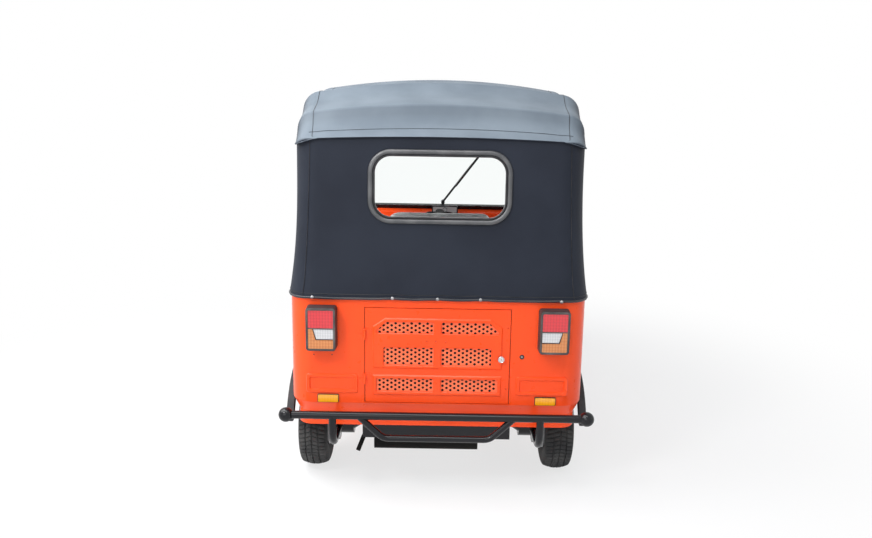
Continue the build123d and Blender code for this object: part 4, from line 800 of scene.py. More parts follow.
def curtainRing(z):
    share = min(max((curtainTop - z) / (curtainTop - curtainLook["lap"]), 0.0), 1.0)
    half = mix(curtainLook["topHalf"], curtainLook["hemHalf"], share ** curtainLook["halfCurve"])
    back = mix(curtainLook["topBack"], curtainLook["hemBack"], share ** curtainLook["backCurve"])
    corner = mix(curtainLook["topCorner"], curtainLook["hemCorner"], share)
    side = [(-half, d) for d in np.linspace(curtainLook["sideEnd"], back + corner, curtainLook["sideSteps"])[:-1]]
    for turn in np.linspace(0, math.pi / 2, curtainLook["arcSteps"]):
        side.append((-half + corner * (1 - math.cos(turn)), back + corner * (1 - math.sin(turn))))
    middle = [(x, back) for x in np.linspace(-half + corner, half - corner, curtainLook["backSteps"])[1:-1]]
    return side + middle + [(-x, distance) for x, distance in reversed(side)]


def hemSag(x, distance):
    # the hem dips a little between its studs
    if distance >= curtainLook["backDepth"]:
        return 0.0
    near = min(abs(x - stud[0]) for stud in curtainLook["studs"])
    share = min(near, curtainLook["sagReach"]) / curtainLook["sagReach"]
    return -curtainLook["hemSag"] * (1 - math.cos(share * math.pi)) / 2


def curtainPoint(x, distance, z):
    place = Vector((x * mm, ahead(distance), z * mm))
    inward = min(distance - curtainLook["foldTurn"], 0.0) * curtainLook["foldRate"]
    towards = Vector((x, inward, 0)).normalized()
    low = max(0.0, 1 - (z - hem) / curtainLook["sagRise"])
    fine = noise.noise(place * Vector(curtainLook["fineFold"]))
    broad = noise.noise(place * curtainLook["broadFold"])
    calm = broad * curtainLook["broadShare"] + fine * curtainLook["fineShare"]
    start, end = [hem + rise for rise in curtainLook["waveFrom"]]
    fold = calm * curtainLook["wave"] * eased(z, start, end) * (1 - eased(z, *curtainLook["waveTo"]))
    top = min(z, valanceAt(x) + curtainLook["tuck"]) if z > curtainLook["tuckFrom"] else z
    height = (top + hemSag(x, distance) * low) * mm
    return (place.x + towards.x * fold * mm, place.y + towards.y * fold * mm, height)


def windowOut(point):
    # distance out from the middles of the window's rounded corners
    corner = windowLook["corner"]
    across = abs(point[0] / mm) - (windowLook["half"][0] - corner)
    rise = abs(point[2] / mm - windowLook["height"]) - (windowLook["half"][1] - corner)
    return math.hypot(across, rise) if min(across, rise) > 0 else max(across, rise)


def inWindow(point):
    return point[1] < ahead(curtainLook["backDepth"]) and windowOut(point) < windowLook["corner"] + curtainLook["bite"]


curtainLevels = [hem + row for row in curtainLook["hemRows"]]
curtainLevels += [*np.arange(hem + curtainLook["firstRow"], curtainTop, curtainLook["rise"]), curtainTop]
curtainGrid = np.array([
    [curtainPoint(x, distance, float(z)) for x, distance in curtainRing(z)] for z in curtainLevels
])
curtainRows, curtainColumns = curtainGrid.shape[:2]
flatPoints = curtainGrid.reshape(-1, 3)
curtainFaces = [
    face for face in gridFaces(curtainRows, curtainColumns) if not inWindow(flatPoints[list(face)].mean(axis=0))
]
curtainSheet = meshPiece("curtainSheet", flatPoints, curtainFaces, finishes["canvas"], 80.0)
turnedUp(curtainSheet, -1, 1)
curtainFlat = (longestRun(curtainGrid), longestRun(curtainGrid.transpose(1, 0, 2)))
clothSkin(curtainSheet, curtainLook["cloth"])
keep(curtainSheet, "body", "canvas", "rear_curtain")
edgeRuns = [curtainGrid[0], curtainGrid[:, 0], curtainGrid[:, -1]]
curtainHem = tubePiece("curtainHem", edgeRuns, curtainLook["hemRadius"] * mm, pipingFinish, 10)
keep(curtainHem, "body", "canvas")
seamRuns = [curtainGrid[len(curtainLook["hemRows"]) - 1]]
seamX, seamY = curtainLook["seamOut"]
for side in (-1, 1):
    run = []
    for row in range(1, curtainRows - 2):
        share = (curtainLevels[row] - hem) / (curtainTop - hem)
        share = share ** curtainLook["seamCurve"]
        target = side * mix(curtainLook["seamHem"], curtainLook["seamTop"], share) * mm
        line = np.array([point for point in curtainGrid[row] if point[1] < ahead(curtainLook["cornerDepth"])])
        spot = [np.interp(target, line[:, 0], line[:, axis]) for axis in range(3)]
        run.append(Vector(spot))
    seamRuns.append(shifted(run, (side * seamX, seamY, 0)))
curtainSeams = tubePiece("curtainSeams", seamRuns, curtainLook["seamRadius"] * mm, seamFinish, 6)
keep(curtainSeams, "body", "canvas")
kit = Kit("snapStuds", {"Radius": curtainLook["studRadius"] * mm, "Proud": curtainLook["studProud"]})
cap = kit.node("GeometryNodeMeshUVSphere", {}, {"Segments": 16, "Rings": 10, "Radius": kit.size("Radius")})
squash = kit.node("ShaderNodeCombineXYZ", {}, {"X": 1.0, "Y": kit.size("Proud"), "Z": 1.0})
lowCap = kit.node("GeometryNodeTransform", {}, {"Geometry": cap, "Scale": squash})
kit.close(kit.instances(kit.size("Geometry"), lowCap), finishes["cast_alloy"])
studY = ahead(curtainLook["hemBack"] - curtainLook["studOut"])
hemStuds = kit.make("hemStuds", pathObject([[(x * mm, studY, z * mm)] for x, z in curtainLook["studs"]]), 60.0)
keep(hemStuds, "body", "cast_alloy")


# Rear window seal: a domed rubber section with a locking bead, its dome painted paler (painted reflection) and its two
# lips painted black (painted shade)
sealLook = {
    "lean": math.atan2(17, 465), "foot": (1080, 4), "innerLip": 9.9, "outerLip": 27.5,
    "section": [(0.5, -9), (0.5, 4.5), (2, 6.2), (5, 6.8), (7.4, 5.6), (8.2, 2.6), (9.4, 2.6), (10.4, 6.4),
                (14, 8.8), (19, 9.3), (24, 8.4), (28, 5.2), (29.6, 0.6), (29.6, -0.2)],
}
# the dome's rubber: its paler base and heavy pale dust are partly real dust and partly a painted sky reflection
sealSheenFinish = rubberFinish("sealRubber", {
    "colour": tone(0.045, 0.047, 0.051), "dust": tone(0.13, 0.13, 0.135), "dustiness": 0.6, "rough": 0.30,
    "grain": 300.0, "shine": 0.7,
})


def onWindow(across, rise, proud):
    lean, height = sealLook["lean"], windowLook["height"]
    footZ, footAhead = sealLook["foot"]
    z = height + rise * math.cos(lean) + proud * math.sin(lean)
    back = (height - footZ) * math.tan(lean) + rise * math.sin(lean) - proud * math.cos(lean)
    return (across * mm, ahead(footAhead + back), z * mm)


sealPath = roundedPath(*windowLook["half"], windowLook["corner"])
windowSeal = framePiece("windowSeal", sealPath, sealLook["section"], onWindow, sealSheenFinish, 50.0)
windowSeal.data.materials.append(finishes["black_rubber"].material)
# faces between the lips take the dome's paler rubber, a painted reflection; the lips take black rubber, painted shade
for face in windowSeal.data.polygons:
    out = windowOut(face.center) - windowLook["corner"]
    face.material_index = 0 if sealLook["innerLip"] <= out <= sealLook["outerLip"] else 1
keep(windowSeal, "body", "black_rubber", "rear_window_seal")
print("window seal")


# Perforated grilles of the engine door
perforationLook = {
    "grilles": [          # outer end, bottom, top, clipped corner, height of a row of holes
        (258, 740, 790, 40, 782), (228, 599, 678, 0, 665), (258, 482, 540, 0, 528),
    ],
    "inner": 16, "lap": 7.0, "front": 4.2, "thickness": 1.6, "hole": 11.8, "edge": 0.2, "clipRoom": 1.42,
    "drill": 6.4, "pitch": 16.8, "rise": 19.4, "phase": -43, "columns": range(-20, 24), "rows": range(-8, 9),
}


def grilleOutlines(lap):
    outlines = []
    for outer, bottom, top, clip, rowHeight in perforationLook["grilles"]:
        left, right, low, high = perforationLook["inner"] - lap, outer + lap, bottom - lap, top + lap
        cut = max(clip, 1)
        corners = [(left, low), (right, low), (right, high - cut), (right - cut, high), (left, high)]
        outlines += [[(side * x, z) for x, z in corners] for side in (-1, 1)]
    return outlines


lap, thickness, hole = [perforationLook[key] for key in ("lap", "thickness", "hole")]
plateBack = perforationLook["front"] + thickness
plates = prismPiece(
    "plates", grilleOutlines(lap), perforationLook["front"], plateBack, finishes["grille_paint"]
)
edgeRoom = hole / 2 + perforationLook["edge"]
holeCentres = []
for outer, bottom, top, clip, rowHeight in perforationLook["grilles"]:
    near, low, high = perforationLook["inner"] - lap + edgeRoom, bottom - lap + edgeRoom, top + lap - edgeRoom
    for side in (-1, 1):
        for column in perforationLook["columns"]:
            x = perforationLook["phase"] + column * perforationLook["pitch"]
            for step in perforationLook["rows"]:
                z = rowHeight + (step + 0.5 * (column % 2)) * perforationLook["rise"]
                inside = near < side * x < outer + lap - edgeRoom and low < z < high
                if inside and (outer - side * x) + (top - z) > clip - 2 * lap + edgeRoom * perforationLook["clipRoom"]:
                    holeCentres.append((x * mm, ahead(plateBack - thickness / 2), z * mm))
kit = Kit("perforation", {"Hole": hole * mm, "Depth": perforationLook["drill"] * mm})
drill = kit.cylinder(12, kit.size("Hole") * 0.5, kit.size("Depth"))
drills = kit.instances(kit.size("Geometry"), drill, Rotation=kit.turned((math.pi / 2, 0, 0)))
solidDrills = kit.node("GeometryNodeRealizeInstances", {}, {0: drills})
sheetMetal = kit.node("GeometryNodeObjectInfo", {"transform_space": "ORIGINAL"}, {0: plates}, "Geometry")
drilled = kit.node(
    "GeometryNodeMeshBoolean", {"operation": "DIFFERENCE"}, {"Mesh 1": sheetMetal, "Mesh 2": solidDrills}
)
kit.close(drilled, finishes["grille_paint"])
doorGrilles = kit.make("doorGrilles", pathObject([[centre] for centre in holeCentres]), 30.0)
bpy.data.objects.remove(plates)
keep(doorGrilles, "engine_door", "grille_paint", "door_grilles")
print("grilles with", len(holeCentres), "holes")


# Tyres: ribs, grooves and sipes, one block repeated round the wheel
treadLook = {
    "wall": [(16, 106), (11.5, 114), (4.5, 134), (0.8, 152), (0, 164), (1.6, 176), (4.6, 186)], "shoulder": 9.0,
    "crown": 207, "camber": 13.0, "rib": ((0.0, 0.6), (0.06, 1.0), (0.5, 1.0), (0.94, 1.0), (1.0, 0.6)),
    "ribEase": 0.5, "grooveHalf": 3.2, "grooveDepth": 6.5, "grooveSlope": 0.6, "blocks": 60, "sipe": 0.22,
    "sipeSlope": 0.05, "sipeDepth": 4.6, "slant": 0.9,
}


def treadSector(halfWidth):
    wall = [(-(halfWidth - inset), radius, 0.0) for inset, radius in treadLook["wall"]]
    half = halfWidth - treadLook["shoulder"]

    def ground(x, below):
        return treadLook["crown"] - treadLook["camber"] * (x / half) ** 2 - below

    edges = [-half]
    for groove in (-half / 2, 0, half / 2):
        edges += [groove - treadLook["grooveHalf"], groove + treadLook["grooveHalf"]]
    edges.append(half)
    line = list(wall)
    for rib in range(0, len(edges), 2):
        start, end = edges[rib], edges[rib + 1]
        for share, deep in treadLook["rib"]:
            x = mix(start, end, share)
            ease = treadLook["ribEase"] if share in (0.0, 1.0) else 0.0
            line.append((x, ground(x, ease), treadLook["sipeDepth"] * deep))
        if rib + 2 < len(edges):
            floor = (end + treadLook["grooveSlope"], edges[rib + 2] - treadLook["grooveSlope"])
            line += [(x, ground(x, treadLook["grooveDepth"]), 0.0) for x in floor]
    line += [(-x, radius, 0.0) for x, radius, deep in reversed(wall)]
    step = fullTurn / treadLook["blocks"]
    sipe, end = treadLook["sipe"], 1 - treadLook["sipeSlope"]
    rows = [(0.0, 0.0), (end - sipe, 0.0), (1 - sipe, 1.0), (end, 1.0), (1.0, 0.0)]
    points = []
    for share, cut in rows:
        for x, radius, deep in line:
            angle = (share + treadLook["slant"] * min(abs(x) / half, 1.0)) * step
            reach = (radius - deep * cut) * mm
            points.append((x * mm, -reach * math.sin(angle), reach * math.cos(angle)))
    return points, gridFaces(len(rows), len(line))


def tyrePiece(name, centre, halfWidth, body):
    kit = Kit("treadRing", {"Blocks": treadLook["blocks"]})
    turns = kit.node(
        "GeometryNodeMeshLine", {"mode": "OFFSET", "count_mode": "TOTAL"},
        {"Count": kit.size("Blocks"), "Offset": (0.0, 0.0, 0.0)},
    )
    spin = kit.turnedEvenly("X", kit.size("Blocks"))
    kit.close(kit.instances(turns, kit.size("Geometry"), Rotation=spin), finishes["tyre"])
    tyre = kit.make(name, meshPiece("sector", *treadSector(halfWidth), finishes["tyre"], None), 40.0)
    outward(tyre.data, 0.00004)
    tyre.data.transform(Matrix.Translation(centre))
    keep(tyre, body, "tyre", body.replace("wheel", "tyre"))


# Wheel nuts on their studs
nutLook = {
    "count": 4, "circle": 52.0, "across": 19.0, "corners": 0.577, "deep": 14.0, "stud": 4.5, "studOut": 9.0,
    "face": 12.0,
}


def nutRing(name, centre, sign, body):
    kit = Kit("wheelNuts", {
        "Count": nutLook["count"], "Circle": nutLook["circle"] * mm, "Across": nutLook["across"] * mm,
        "Deep": nutLook["deep"] * mm, "Stud": nutLook["stud"] * mm, "Out": nutLook["studOut"] * mm,
    })
    nut = kit.cylinder(6, kit.size("Across") * nutLook["corners"], kit.size("Deep"))
    stud = kit.cylinder(10, kit.size("Stud"), kit.size("Deep") + kit.size("Out") * 2)
    both = kit.node("GeometryNodeJoinGeometry", {}, {0: nut})
    kit.tree.links.new(stud.socket, both.socket.node.inputs[0])
    kit.close(kit.instances(kit.circle(kit.size("Count"), kit.size("Circle")), both), finishes["bright_metal"])
    nuts = kit.make(name, pathObject([[(0, 0, 0)]]), 30.0)
    out = (nutLook["face"] + nutLook["deep"] / 2) * mm * sign
    place = Matrix.Translation((centre[0] + out, centre[1], centre[2]))
    nuts.data.transform(place @ Matrix.Rotation(math.pi / 2, 4, "Y"))
    keep(nuts, body, "bright_metal")


wheelLook = {          # centre, half the tyre's width, side of the nuts
    "front": ((0, 1.091, 0.207), 52, -1),
    "rearLeft": ((-0.562, ahead(345), 0.207), 66, -1),
    "rearRight": ((0.562, ahead(345), 0.207), 66, 1),
}
for (name, (centre, halfWidth, sign)), body in zip(
    wheelLook.items(), ("front_wheel", "rear_left_wheel", "rear_right_wheel")
):
    tyrePiece(name + "Tyre", centre, halfWidth, body)
    nutRing(name + "Nuts", centre, sign, body)
print("tyres and nuts")


# Lamp bezels, reflector frames and the dividers between lenses
lampLook = {
    "centre": (486, 765), "outer": (61.5, 91.5), "inner": 52, "corner": 14, "front": -52.0, "proud": 4.0,
    "soft": 1.6, "softShare": 0.3, "root": -1.0, "lip": -4.0, "divider": 1.7, "dividerProud": 0.3,
    "belowRed": 1.0, "reflector": (464, 448), "frame": (45.2, 18.2), "frameInner": 42.5, "frameCorner": 4.0,
    "frameProud": 7.0, "frameSoft": 1.0,
}
bezelFinish = rubberFinish("bezelPlastic", {
    "colour": tone(0.055, 0.050, 0.050), "dust": tone(0.16, 0.145, 0.14), "dustiness": 0.7, "rough": 0.30,
    "grain": 500.0,
})


def bezelSection(width, proud, soft):
    ease = soft * lampLook["softShare"]
    return [(0.0, lampLook["root"]), (0.0, proud - soft), (-ease, proud - ease), (-soft, proud),
            (-width + soft, proud), (-width + ease, proud - ease), (-width, proud - soft), (-width, lampLook["lip"])]


for side, label in sides:
    lampX, lampZ = side * lampLook["centre"][0], lampLook["centre"][1]
    width = lampLook["outer"][0] - lampLook["inner"]
    bezel = framePiece(
        "lampBezel" + label, roundedPath(*lampLook["outer"], lampLook["corner"], 8),
        bezelSection(width, lampLook["proud"], lampLook["soft"]), onTail((lampX, lampZ), lampLook["front"]),
        bezelFinish,
    )
    keep(bezel, "body", "black_plastic")
    centre = (side * lampLook["reflector"][0], lampLook["reflector"][1])
    width = lampLook["frame"][0] - lampLook["frameInner"]
    surround = framePiece(
        "reflectorFrame" + label, roundedPath(*lampLook["frame"], lampLook["frameCorner"], 5),
        bezelSection(width, lampLook["frameProud"], lampLook["frameSoft"]), onTail(centre, 0.0),
        finishes["black_plastic"],
    )
    keep(surround, "body", "black_plastic")
    clear = [vert.co for vert in nodes["tail_lamp_clear"].data.vertices if vert.co.x * side > 0]
    lensFace = min(point.y for point in clear)
    rim = {(round(point.x, 4), round(point.z, 4)) for point in clear if point.y < lensFace + 0.5 * mm}
    middleX, middleZ = np.mean(list(rim), axis=0)
    rim = sorted(rim, key=lambda spot: math.atan2(spot[1] - middleZ, spot[0] - middleX))
    dividerY = lensFace - lampLook["dividerProud"] * mm
    redLow = min(vert.co.z for vert in nodes["tail_lamp_red"].data.vertices) - lampLook["belowRed"] * mm
    crossing = [((lampX + share * lampLook["inner"]) * mm, dividerY, redLow) for share in (-1, 0, 1)]
    dividers = tubePiece(
        "lensDividers" + label, [crossing], lampLook["divider"] * mm, bezelFinish,
        loops=[[(x, dividerY, z) for x, z in rim]],
    )
    keep(dividers, "body", "black_plastic")
print("lamp bezels")

# Lock, grommet and the small screws of the tail
fittingLook = {
    "lock": (270, 634), "lockProud": 12.4, "ring": 12.2, "ringThick": 1.3, "slot": (1.6, 8.0), "slotProud": 0.4,
    "slotSunk": 1.0, "grommet": (358, 644), "dots": ((-523, 641), (-446, 641)),
    "grommetProfile": [(4.0, -2.0), (10.0, -2.0), (10.0, 1.2), (8.6, 2.6), (5.5, 2.6), (4.6, 1.2)],
    "screwProfile": [(1.0, -1.0), (4.2, -1.0), (4.2, 1.6), (2.52, 2.6)],
    "dotProfile": [(1.0, -1.0), (2.6, -1.0), (2.6, 0.3), (1.0, 0.5)],
}
lockX, lockZ = fittingLook["lock"]
lockFace = -fittingLook["lockProud"]
lockLoop = ringFacingTail(fittingLook["lock"], fittingLook["ring"], ahead(lockFace), 40)
lockRing = tubePiece("lockRing", [], fittingLook["ringThick"] * mm, finishes["bright_metal"], 10, [lockLoop])
keep(lockRing, "engine_door", "bright_metal")
slotX, slotZ = [value / 2 for value in fittingLook["slot"]]
slotOutline = [(lockX + x * slotX, lockZ + z * slotZ) for x, z in ((-1, -1), (1, -1), (1, 1), (-1, 1))]
keySlot = prismPiece(
    "keySlot", [slotOutline], lockFace - fittingLook["slotProud"], lockFace + fittingLook["slotSunk"],
    finishes["black_rubber"],
)
keep(keySlot, "engine_door", "black_rubber")
for name, place, profile, slot, steps in (
    ("panelGrommet", fittingLook["grommet"], "grommetProfile", "black_rubber", 24),
    ("grommetScrew", fittingLook["grommet"], "screwProfile", "cast_alloy", 16),
    ("panelDot", fittingLook["dots"][0], "dotProfile", "black_rubber", 12),
    ("panelDot", fittingLook["dots"][1], "dotProfile", "black_rubber", 12),
):
    keep(discPiece(name, place, fittingLook[profile], finishes[slot], steps), "body", slot)
print("small fittings")

# A near-black sheet behind the grilles, painted shade standing in for the dark engine bay, and a rubber strip behind
# the door's gap
shadeSheetLook = {"front": 6.2, "back": 8.8, "lap": 5.0}
# painted shade: a near-black sheet that makes the holes of the grilles dark, standing in for the shade of the engine
# bay
shadeSheetFinish = vinylFinish("baffleFelt", {
    "colour": tone(0.004, 0.004, 0.004), "shade": tone(0.007, 0.007, 0.007), "rough": 0.85,
})
grilleFelt = prismPiece(
    "grilleFelt", grilleOutlines(shadeSheetLook["lap"]), shadeSheetLook["front"], shadeSheetLook["back"], shadeSheetFinish
)
keep(grilleFelt, "engine_door", "black_rubber")
stripLook = {
    "half": (308, 207.5), "corner": 8, "centre": (0, 640.5),
    "section": [(-10, -15), (-10, -12), (8, -12), (8, -15), (-10, -15)],
}
doorStrip = framePiece(
    "doorStrip", roundedPath(*stripLook["half"], stripLook["corner"], 5), stripLook["section"],
    onTail(stripLook["centre"], 0.0), finishes["black_rubber"],
)
keep(doorStrip, "body", "black_rubber")
print("shadeSheet behind the grilles and strip round the door")


# Seats: each block of foam swells inside its vinyl, held along its base and its seams
seatLook = {
    "voxel": 16.0, "shrink": 14.0, "pressure": 4.0, "cap": 20.0, "frames": 20, "quality": 4, "holdDeep": 14.0,
    "seamHold": 9.0, "piping": 3.0, "border": 26.0, "corner": 50.0, "lift": 0.5, "stitchOff": 7.0,
    "seamSteps": 30, "loopSteps": 160,
}
seatBlocks = [          # name, node, axis of the free side, seams
    ("passengerCushion", "passenger_cushion", 2, (-372, -186, 0, 186, 372)),
    ("passengerBackrest", "passenger_backrest", 1, (-372, -186, 0, 186, 372)),
    ("driverCushion", "driver_cushion", 2, (-150, 150)),
    ("driverBackrest", "driver_backrest", 1, (-150, 150)),
]


def evenShell(name, node):
    shell = nodes[node].data.copy()
    shell.transform(nodes[node].matrix_world)
    points = np.array([vert.co for vert in shell.vertices])
    middle, span = (points.max(axis=0) + points.min(axis=0)) / 2, np.ptp(points, axis=0)
    scale = (span - seatLook["shrink"] * mm) / span
    for vert in shell.vertices:
        vert.co = Vector(middle + (np.array(vert.co) - middle) * scale)
    outward(shell)
    holder = placed("shell", shell, None)
    remesh = holder.modifiers.new("even", "REMESH")
    remesh.mode = "VOXEL"
    remesh.voxel_size = seatLook["voxel"] * mm
    mesh = evaluatedMesh(holder)
    mesh.materials.clear()
    mesh.materials.append(finishes["seat_vinyl"].material)
    return placed(name, mesh, None)


def meshPoints(mesh):
    flat = np.empty(len(mesh.vertices) * 3)
    mesh.vertices.foreach_get("co", flat)
    return flat.reshape(-1, 3)


def swollen(name, node, axis, seams):
    piece = evenShell(name, node)
    start = meshPoints(piece.data)
    held = start[:, axis] < start[:, axis].min() + seatLook["holdDeep"] * mm
    for seam in seams:
        held |= np.abs(start[:, 0] - seam * mm) < seatLook["seamHold"] * mm
    group = piece.vertex_groups.new(name="held")
    group.add([int(index) for index in np.nonzero(held)[0]], 1.0, "REPLACE")
    stuffing = piece.modifiers.new("stuffing", "CLOTH")
    stuffing.settings.use_pressure = True
    stuffing.settings.uniform_pressure_force = seatLook["pressure"]
    stuffing.settings.vertex_group_mass = "held"
    stuffing.settings.effector_weights.gravity = 0.0
    stuffing.settings.quality = seatLook["quality"]
    stuffing.point_cache.frame_end = seatLook["frames"]
    for step in range(1, seatLook["frames"] + 1):
        scene.frame_set(step)
    ready = piece.evaluated_get(bpy.context.evaluated_depsgraph_get())
    shift = meshPoints(ready.data) - start
    reach = np.maximum(np.linalg.norm(shift, axis=1, keepdims=True), 1e-9)
    puffed = start + shift * np.minimum(1.0, seatLook["cap"] * mm / reach)
    piece.modifiers.remove(stuffing)
    piece.vertex_groups.remove(group)
    scene.frame_set(1)
    piece.data.vertices.foreach_set("co", puffed.ravel())
    piece.data.update()
    piece.data.shade_smooth()
    finer = piece.modifiers.new("finer", "SUBSURF")
    finer.levels = finer.render_levels = 1
    keep(piece, "body", "seat_vinyl", node)
    return piece


class FreeSide:
    # the open side of a seat, where piping and threads lie
    def __init__(self, mesh, axis):
        points = meshPoints(mesh)
        low, high = points.min(axis=0), points.max(axis=0)
        self.middle, self.half = (low + high) / 2, (high - low) / 2 - seatLook["border"] * mm
        self.axis, self.other = axis, 3 - axis
        self.tree = BVHTree.FromPolygons(
            [vert.co for vert in mesh.vertices], [face.vertices for face in mesh.polygons]
        )

    def line(self, places):
        # points on the surface over each pair of places, lifted a little
        run = []
        aim = Vector((0, 0, 0))
        aim[self.axis] = -1.0
        for x, along in places:
            start = Vector((x, 0, 0))
            start[self.axis], start[self.other] = self.middle[self.axis] + 2.0, along
            spot, normal = self.tree.ray_cast(start, aim)[:2]
            if spot:
                run.append(spot + normal * seatLook["lift"] * mm)
        return run


for name, node, axis, seams in seatBlocks:
    top = FreeSide(swollen(name, node, axis, seams).data, axis)
    middle, half, other = top.middle, top.half, top.other
    seamAlong = np.linspace(middle[other] - half[other], middle[other] + half[other], seatLook["seamSteps"])
    runs, threads = [], []
    for seam in seams:
        for shift in (0.0, -seatLook["stitchOff"], seatLook["stitchOff"]):
            run = top.line([((seam + shift) * mm, along) for along in seamAlong])
            (threads if shift else runs).append(run)
    border = roundedPath(half[0] / mm, half[other] / mm, seatLook["corner"], 8)
    loop = top.line([(middle[0] + x * mm, middle[other] + along * mm) for x, along, outX, outZ in border])
    loop = evenly(loop + loop[:1], seatLook["loopSteps"])[:-1]
    piping = tubePiece(name + "Piping", runs, seatLook["piping"] * mm, pipingFinish, loops=[loop])
    keep(piping, "body", "seat_vinyl")
    keep(stitchLine(name + "Stitches", threads, finishes["black_plastic"]), "body", "seat_vinyl")
backrest = top          # the last block is the driver's backrest
print("seats")


# Thin plastic left over the top of the driver's backrest
coverLook = {
    "half": 286, "columns": 120, "backLow": 905, "backRows": 12, "turnHeight": 1012, "turnRows": 25,
    "frontLow": 925, "frontRows": 10, "lift": 4.0, "crinkle": 3.2, "film": 0.25,
    "rayBack": 0.6, "broadFold": (0.018, 0.024, 4), "fineFold": 46, "fineShare": 0.6,
    # the two pale tones are painted highlights of the clear film
    "pale": tone(0.78, 0.79, 0.80), "paintedGlint": tone(0.90, 0.91, 0.92), "thin": 0.52, "thick": 0.74,
}
coverFinish = Finish("plasticFilm", {"Specular IOR Level": 0.6, "Coat Weight": 0.4, "Coat Roughness": 0.08})
# painted highlights: the clear film is given a pale, part-opaque colour, paler again over a noise of crinkles,
# standing in for the sky's reflection on it
filmCrease = coverFinish.spread(coverFinish.grain(34.0, 5.0), 0.38, 0.62)
coverFinish.wear(
    Base_Color=coverFinish.blend(filmCrease, coverLook["pale"], coverLook["paintedGlint"]),
    Alpha=coverFinish.spread(coverFinish.grain(22.0, 4.0), 0.3, 0.7, coverLook["thin"], coverLook["thick"]),
    Roughness=0.12 + filmCrease * 0.2,
)
coverFinish.relief(coverFinish.grain(60.0, 4.0), strength=0.5, depth=1.5)
turnHeight = coverLook["turnHeight"]
aims = [(z, 0.0) for z in np.linspace(coverLook["backLow"], turnHeight, coverLook["backRows"])[:-1]]
aims += [(turnHeight, turn) for turn in np.linspace(0, math.pi, coverLook["turnRows"])]
aims += [(z, math.pi) for z in np.linspace(turnHeight, coverLook["frontLow"], coverLook["frontRows"])[1:]]
coverGrid = []
for z, turn in aims:
    row = []
    aim = Vector((0, math.cos(turn), -math.sin(turn)))
    for x in np.linspace(-coverLook["half"], coverLook["half"], coverLook["columns"]):
        inside = Vector((x * mm, backrest.middle[1], z * mm))
        spot, normal = backrest.tree.ray_cast(inside - aim * coverLook["rayBack"], aim)[:2]
        fold = noise.noise(Vector((x, z, aim.z)) * Vector(coverLook["broadFold"]))
        fold += coverLook["fineShare"] * noise.noise(spot * coverLook["fineFold"])
        row.append(spot + normal * (coverLook["lift"] + coverLook["crinkle"] * (0.5 + 0.5 * fold)) * mm)
    coverGrid.append(row)
backrestCover = meshPiece(
    "backrestCover", [point for row in coverGrid for point in row], gridFaces(len(coverGrid), coverLook["columns"]),
    coverFinish, 80.0,
)
turnedUp(backrestCover, 1, 2)
clothSkin(backrestCover, coverLook["film"])
keep(backrestCover, "body", "clear_glass")


# Instrument face: a pale plate with a round dial, its ticks and a needle
dialLook = {
    "plate": [(-44, 974), (110, 974), (110, 1010), (-44, 1010)], "front": 1992.6, "back": 1994.6, "dial": (33, 991),
    "proud": 0.4, "radius": 14.5, "ticks": 24, "tickInset": 3, "tick": (0.6, 3.0), "needle": 1.1, "needleReach": 8,
}
plateFinish = metalFinish("dialPlate", {
    "metal": 0.2, "colour": tone(0.55, 0.56, 0.57), "shade": tone(0.46, 0.47, 0.48), "rough": 0.35, "grain": 300.0,
    "relief": 0.03,
})
dialPlate = prismPiece("dialPlate", [dialLook["plate"]], dialLook["front"], dialLook["back"], plateFinish)
keep(dialPlate, "body", "black_plastic")
dialX, dialZ = dialLook["dial"]
dialY = ahead(dialLook["front"] - dialLook["proud"])
needle = [((dialX - reach) * mm, dialY, (dialZ - reach) * mm) for reach in (0, dialLook["needleReach"])]
dialLoop = ringFacingTail(dialLook["dial"], dialLook["radius"], dialY, 48)
dialRing = tubePiece(
    "dialRing", [needle], dialLook["needle"] * mm, finishes["black_plastic"], loops=[dialLoop]
)
keep(dialRing, "body", "black_plastic")
kit = Kit("dialTicks", {
    "Ticks": dialLook["ticks"], "Radius": (dialLook["radius"] - dialLook["tickInset"]) * mm,
    "Wide": dialLook["tick"][0] * mm, "Long": dialLook["tick"][1] * mm,
})
wide = kit.size("Wide")
barSize = kit.node("ShaderNodeCombineXYZ", {}, {"X": kit.size("Long"), "Y": wide, "Z": wide})
bar = kit.node("GeometryNodeMeshCube", {}, {"Size": barSize})
tickSpots = kit.circle(kit.size("Ticks"), kit.size("Radius"))
ticks = kit.instances(tickSpots, bar, Rotation=kit.turnedEvenly("Z", kit.size("Ticks")))
kit.close(ticks, finishes["black_plastic"])
dialTicks = kit.make("dialTicks", pathObject([[(0, 0, 0)]]), None)
dialPlace = Matrix.Translation((dialX * mm, dialY, dialZ * mm))
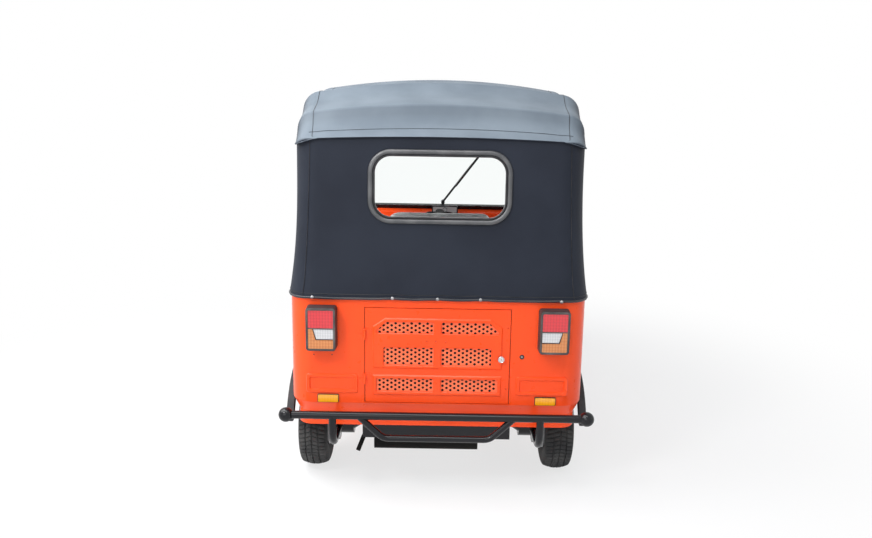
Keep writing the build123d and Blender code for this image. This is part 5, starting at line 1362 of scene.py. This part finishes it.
dialTicks.data.transform(dialPlace @ Matrix.Rotation(math.pi / 2, 4, "X"))
keep(dialTicks, "body", "black_plastic")
print("instrument face")


# Headlamps: painted shell, bright rim and a domed lens
headlampLook = {
    "place": (150, 735),
    "shell": [(40, 2290), (80, 2290), (80.5, 2330), (80.5, 2380), (40, 2380)],
    "rim": [(60, 2379), (82, 2379), (82, 2386), (81, 2391), (78.5, 2394), (75.5, 2393.5), (74, 2390), (60, 2389)],
    "lens": [(60, 2389.5), (74.4, 2389.5), (74, 2391), (66, 2393.6), (52, 2395.8), (34, 2397.2), (14, 2397.9),
             (3, 2398)],
}
for side, label in sides:
    centre = (side * headlampLook["place"][0], headlampLook["place"][1])
    for part, slot in (("shell", "body_paint"), ("rim", "bright_metal"), ("lens", "clear_lens")):
        profile = [(radius, -place) for radius, place in headlampLook[part]]
        piece = discPiece("headlamp" + part.capitalize() + label, centre, profile, finishes[slot], 48)
        replaced = ["headlamps"] if part == "lens" and label == "Left" else []
        keep(piece, "body", slot, *replaced)
print("headlamps")


# Ribs round the handlebar's grips
gripLook = {"ribs": 11, "thick": 1.5, "sunk": 0.4, "reach": 0.86}
gripPoints = np.array([vert.co for vert in nodes["handlebar_grips"].data.vertices])
ribLoops = []
for side in (-1, 1):
    grip = gripPoints[gripPoints[:, 0] * side > 0]
    centre = (grip.max(axis=0) + grip.min(axis=0)) / 2
    axis = np.linalg.eigh(np.cov((grip - centre).T))[1][:, 2]
    far = (grip - centre) @ axis
    radius = float(np.linalg.norm(grip - centre - np.outer(far, axis), axis=1).max()) - gripLook["sunk"] * mm
    reach = float(np.abs(far).max()) * gripLook["reach"]
    along = Vector(axis)
    across = along.orthogonal().normalized()
    for share in np.linspace(-1, 1, gripLook["ribs"]):
        hub = Vector(centre) + along * (share * reach)
        ribLoops.append(ringAbout(hub, across, along.cross(across), radius, 24))
gripRibs = tubePiece("gripRibs", [], gripLook["thick"] * mm, finishes["black_rubber"], loops=ribLoops)
keep(gripRibs, "steering", "black_rubber")
print("grips")
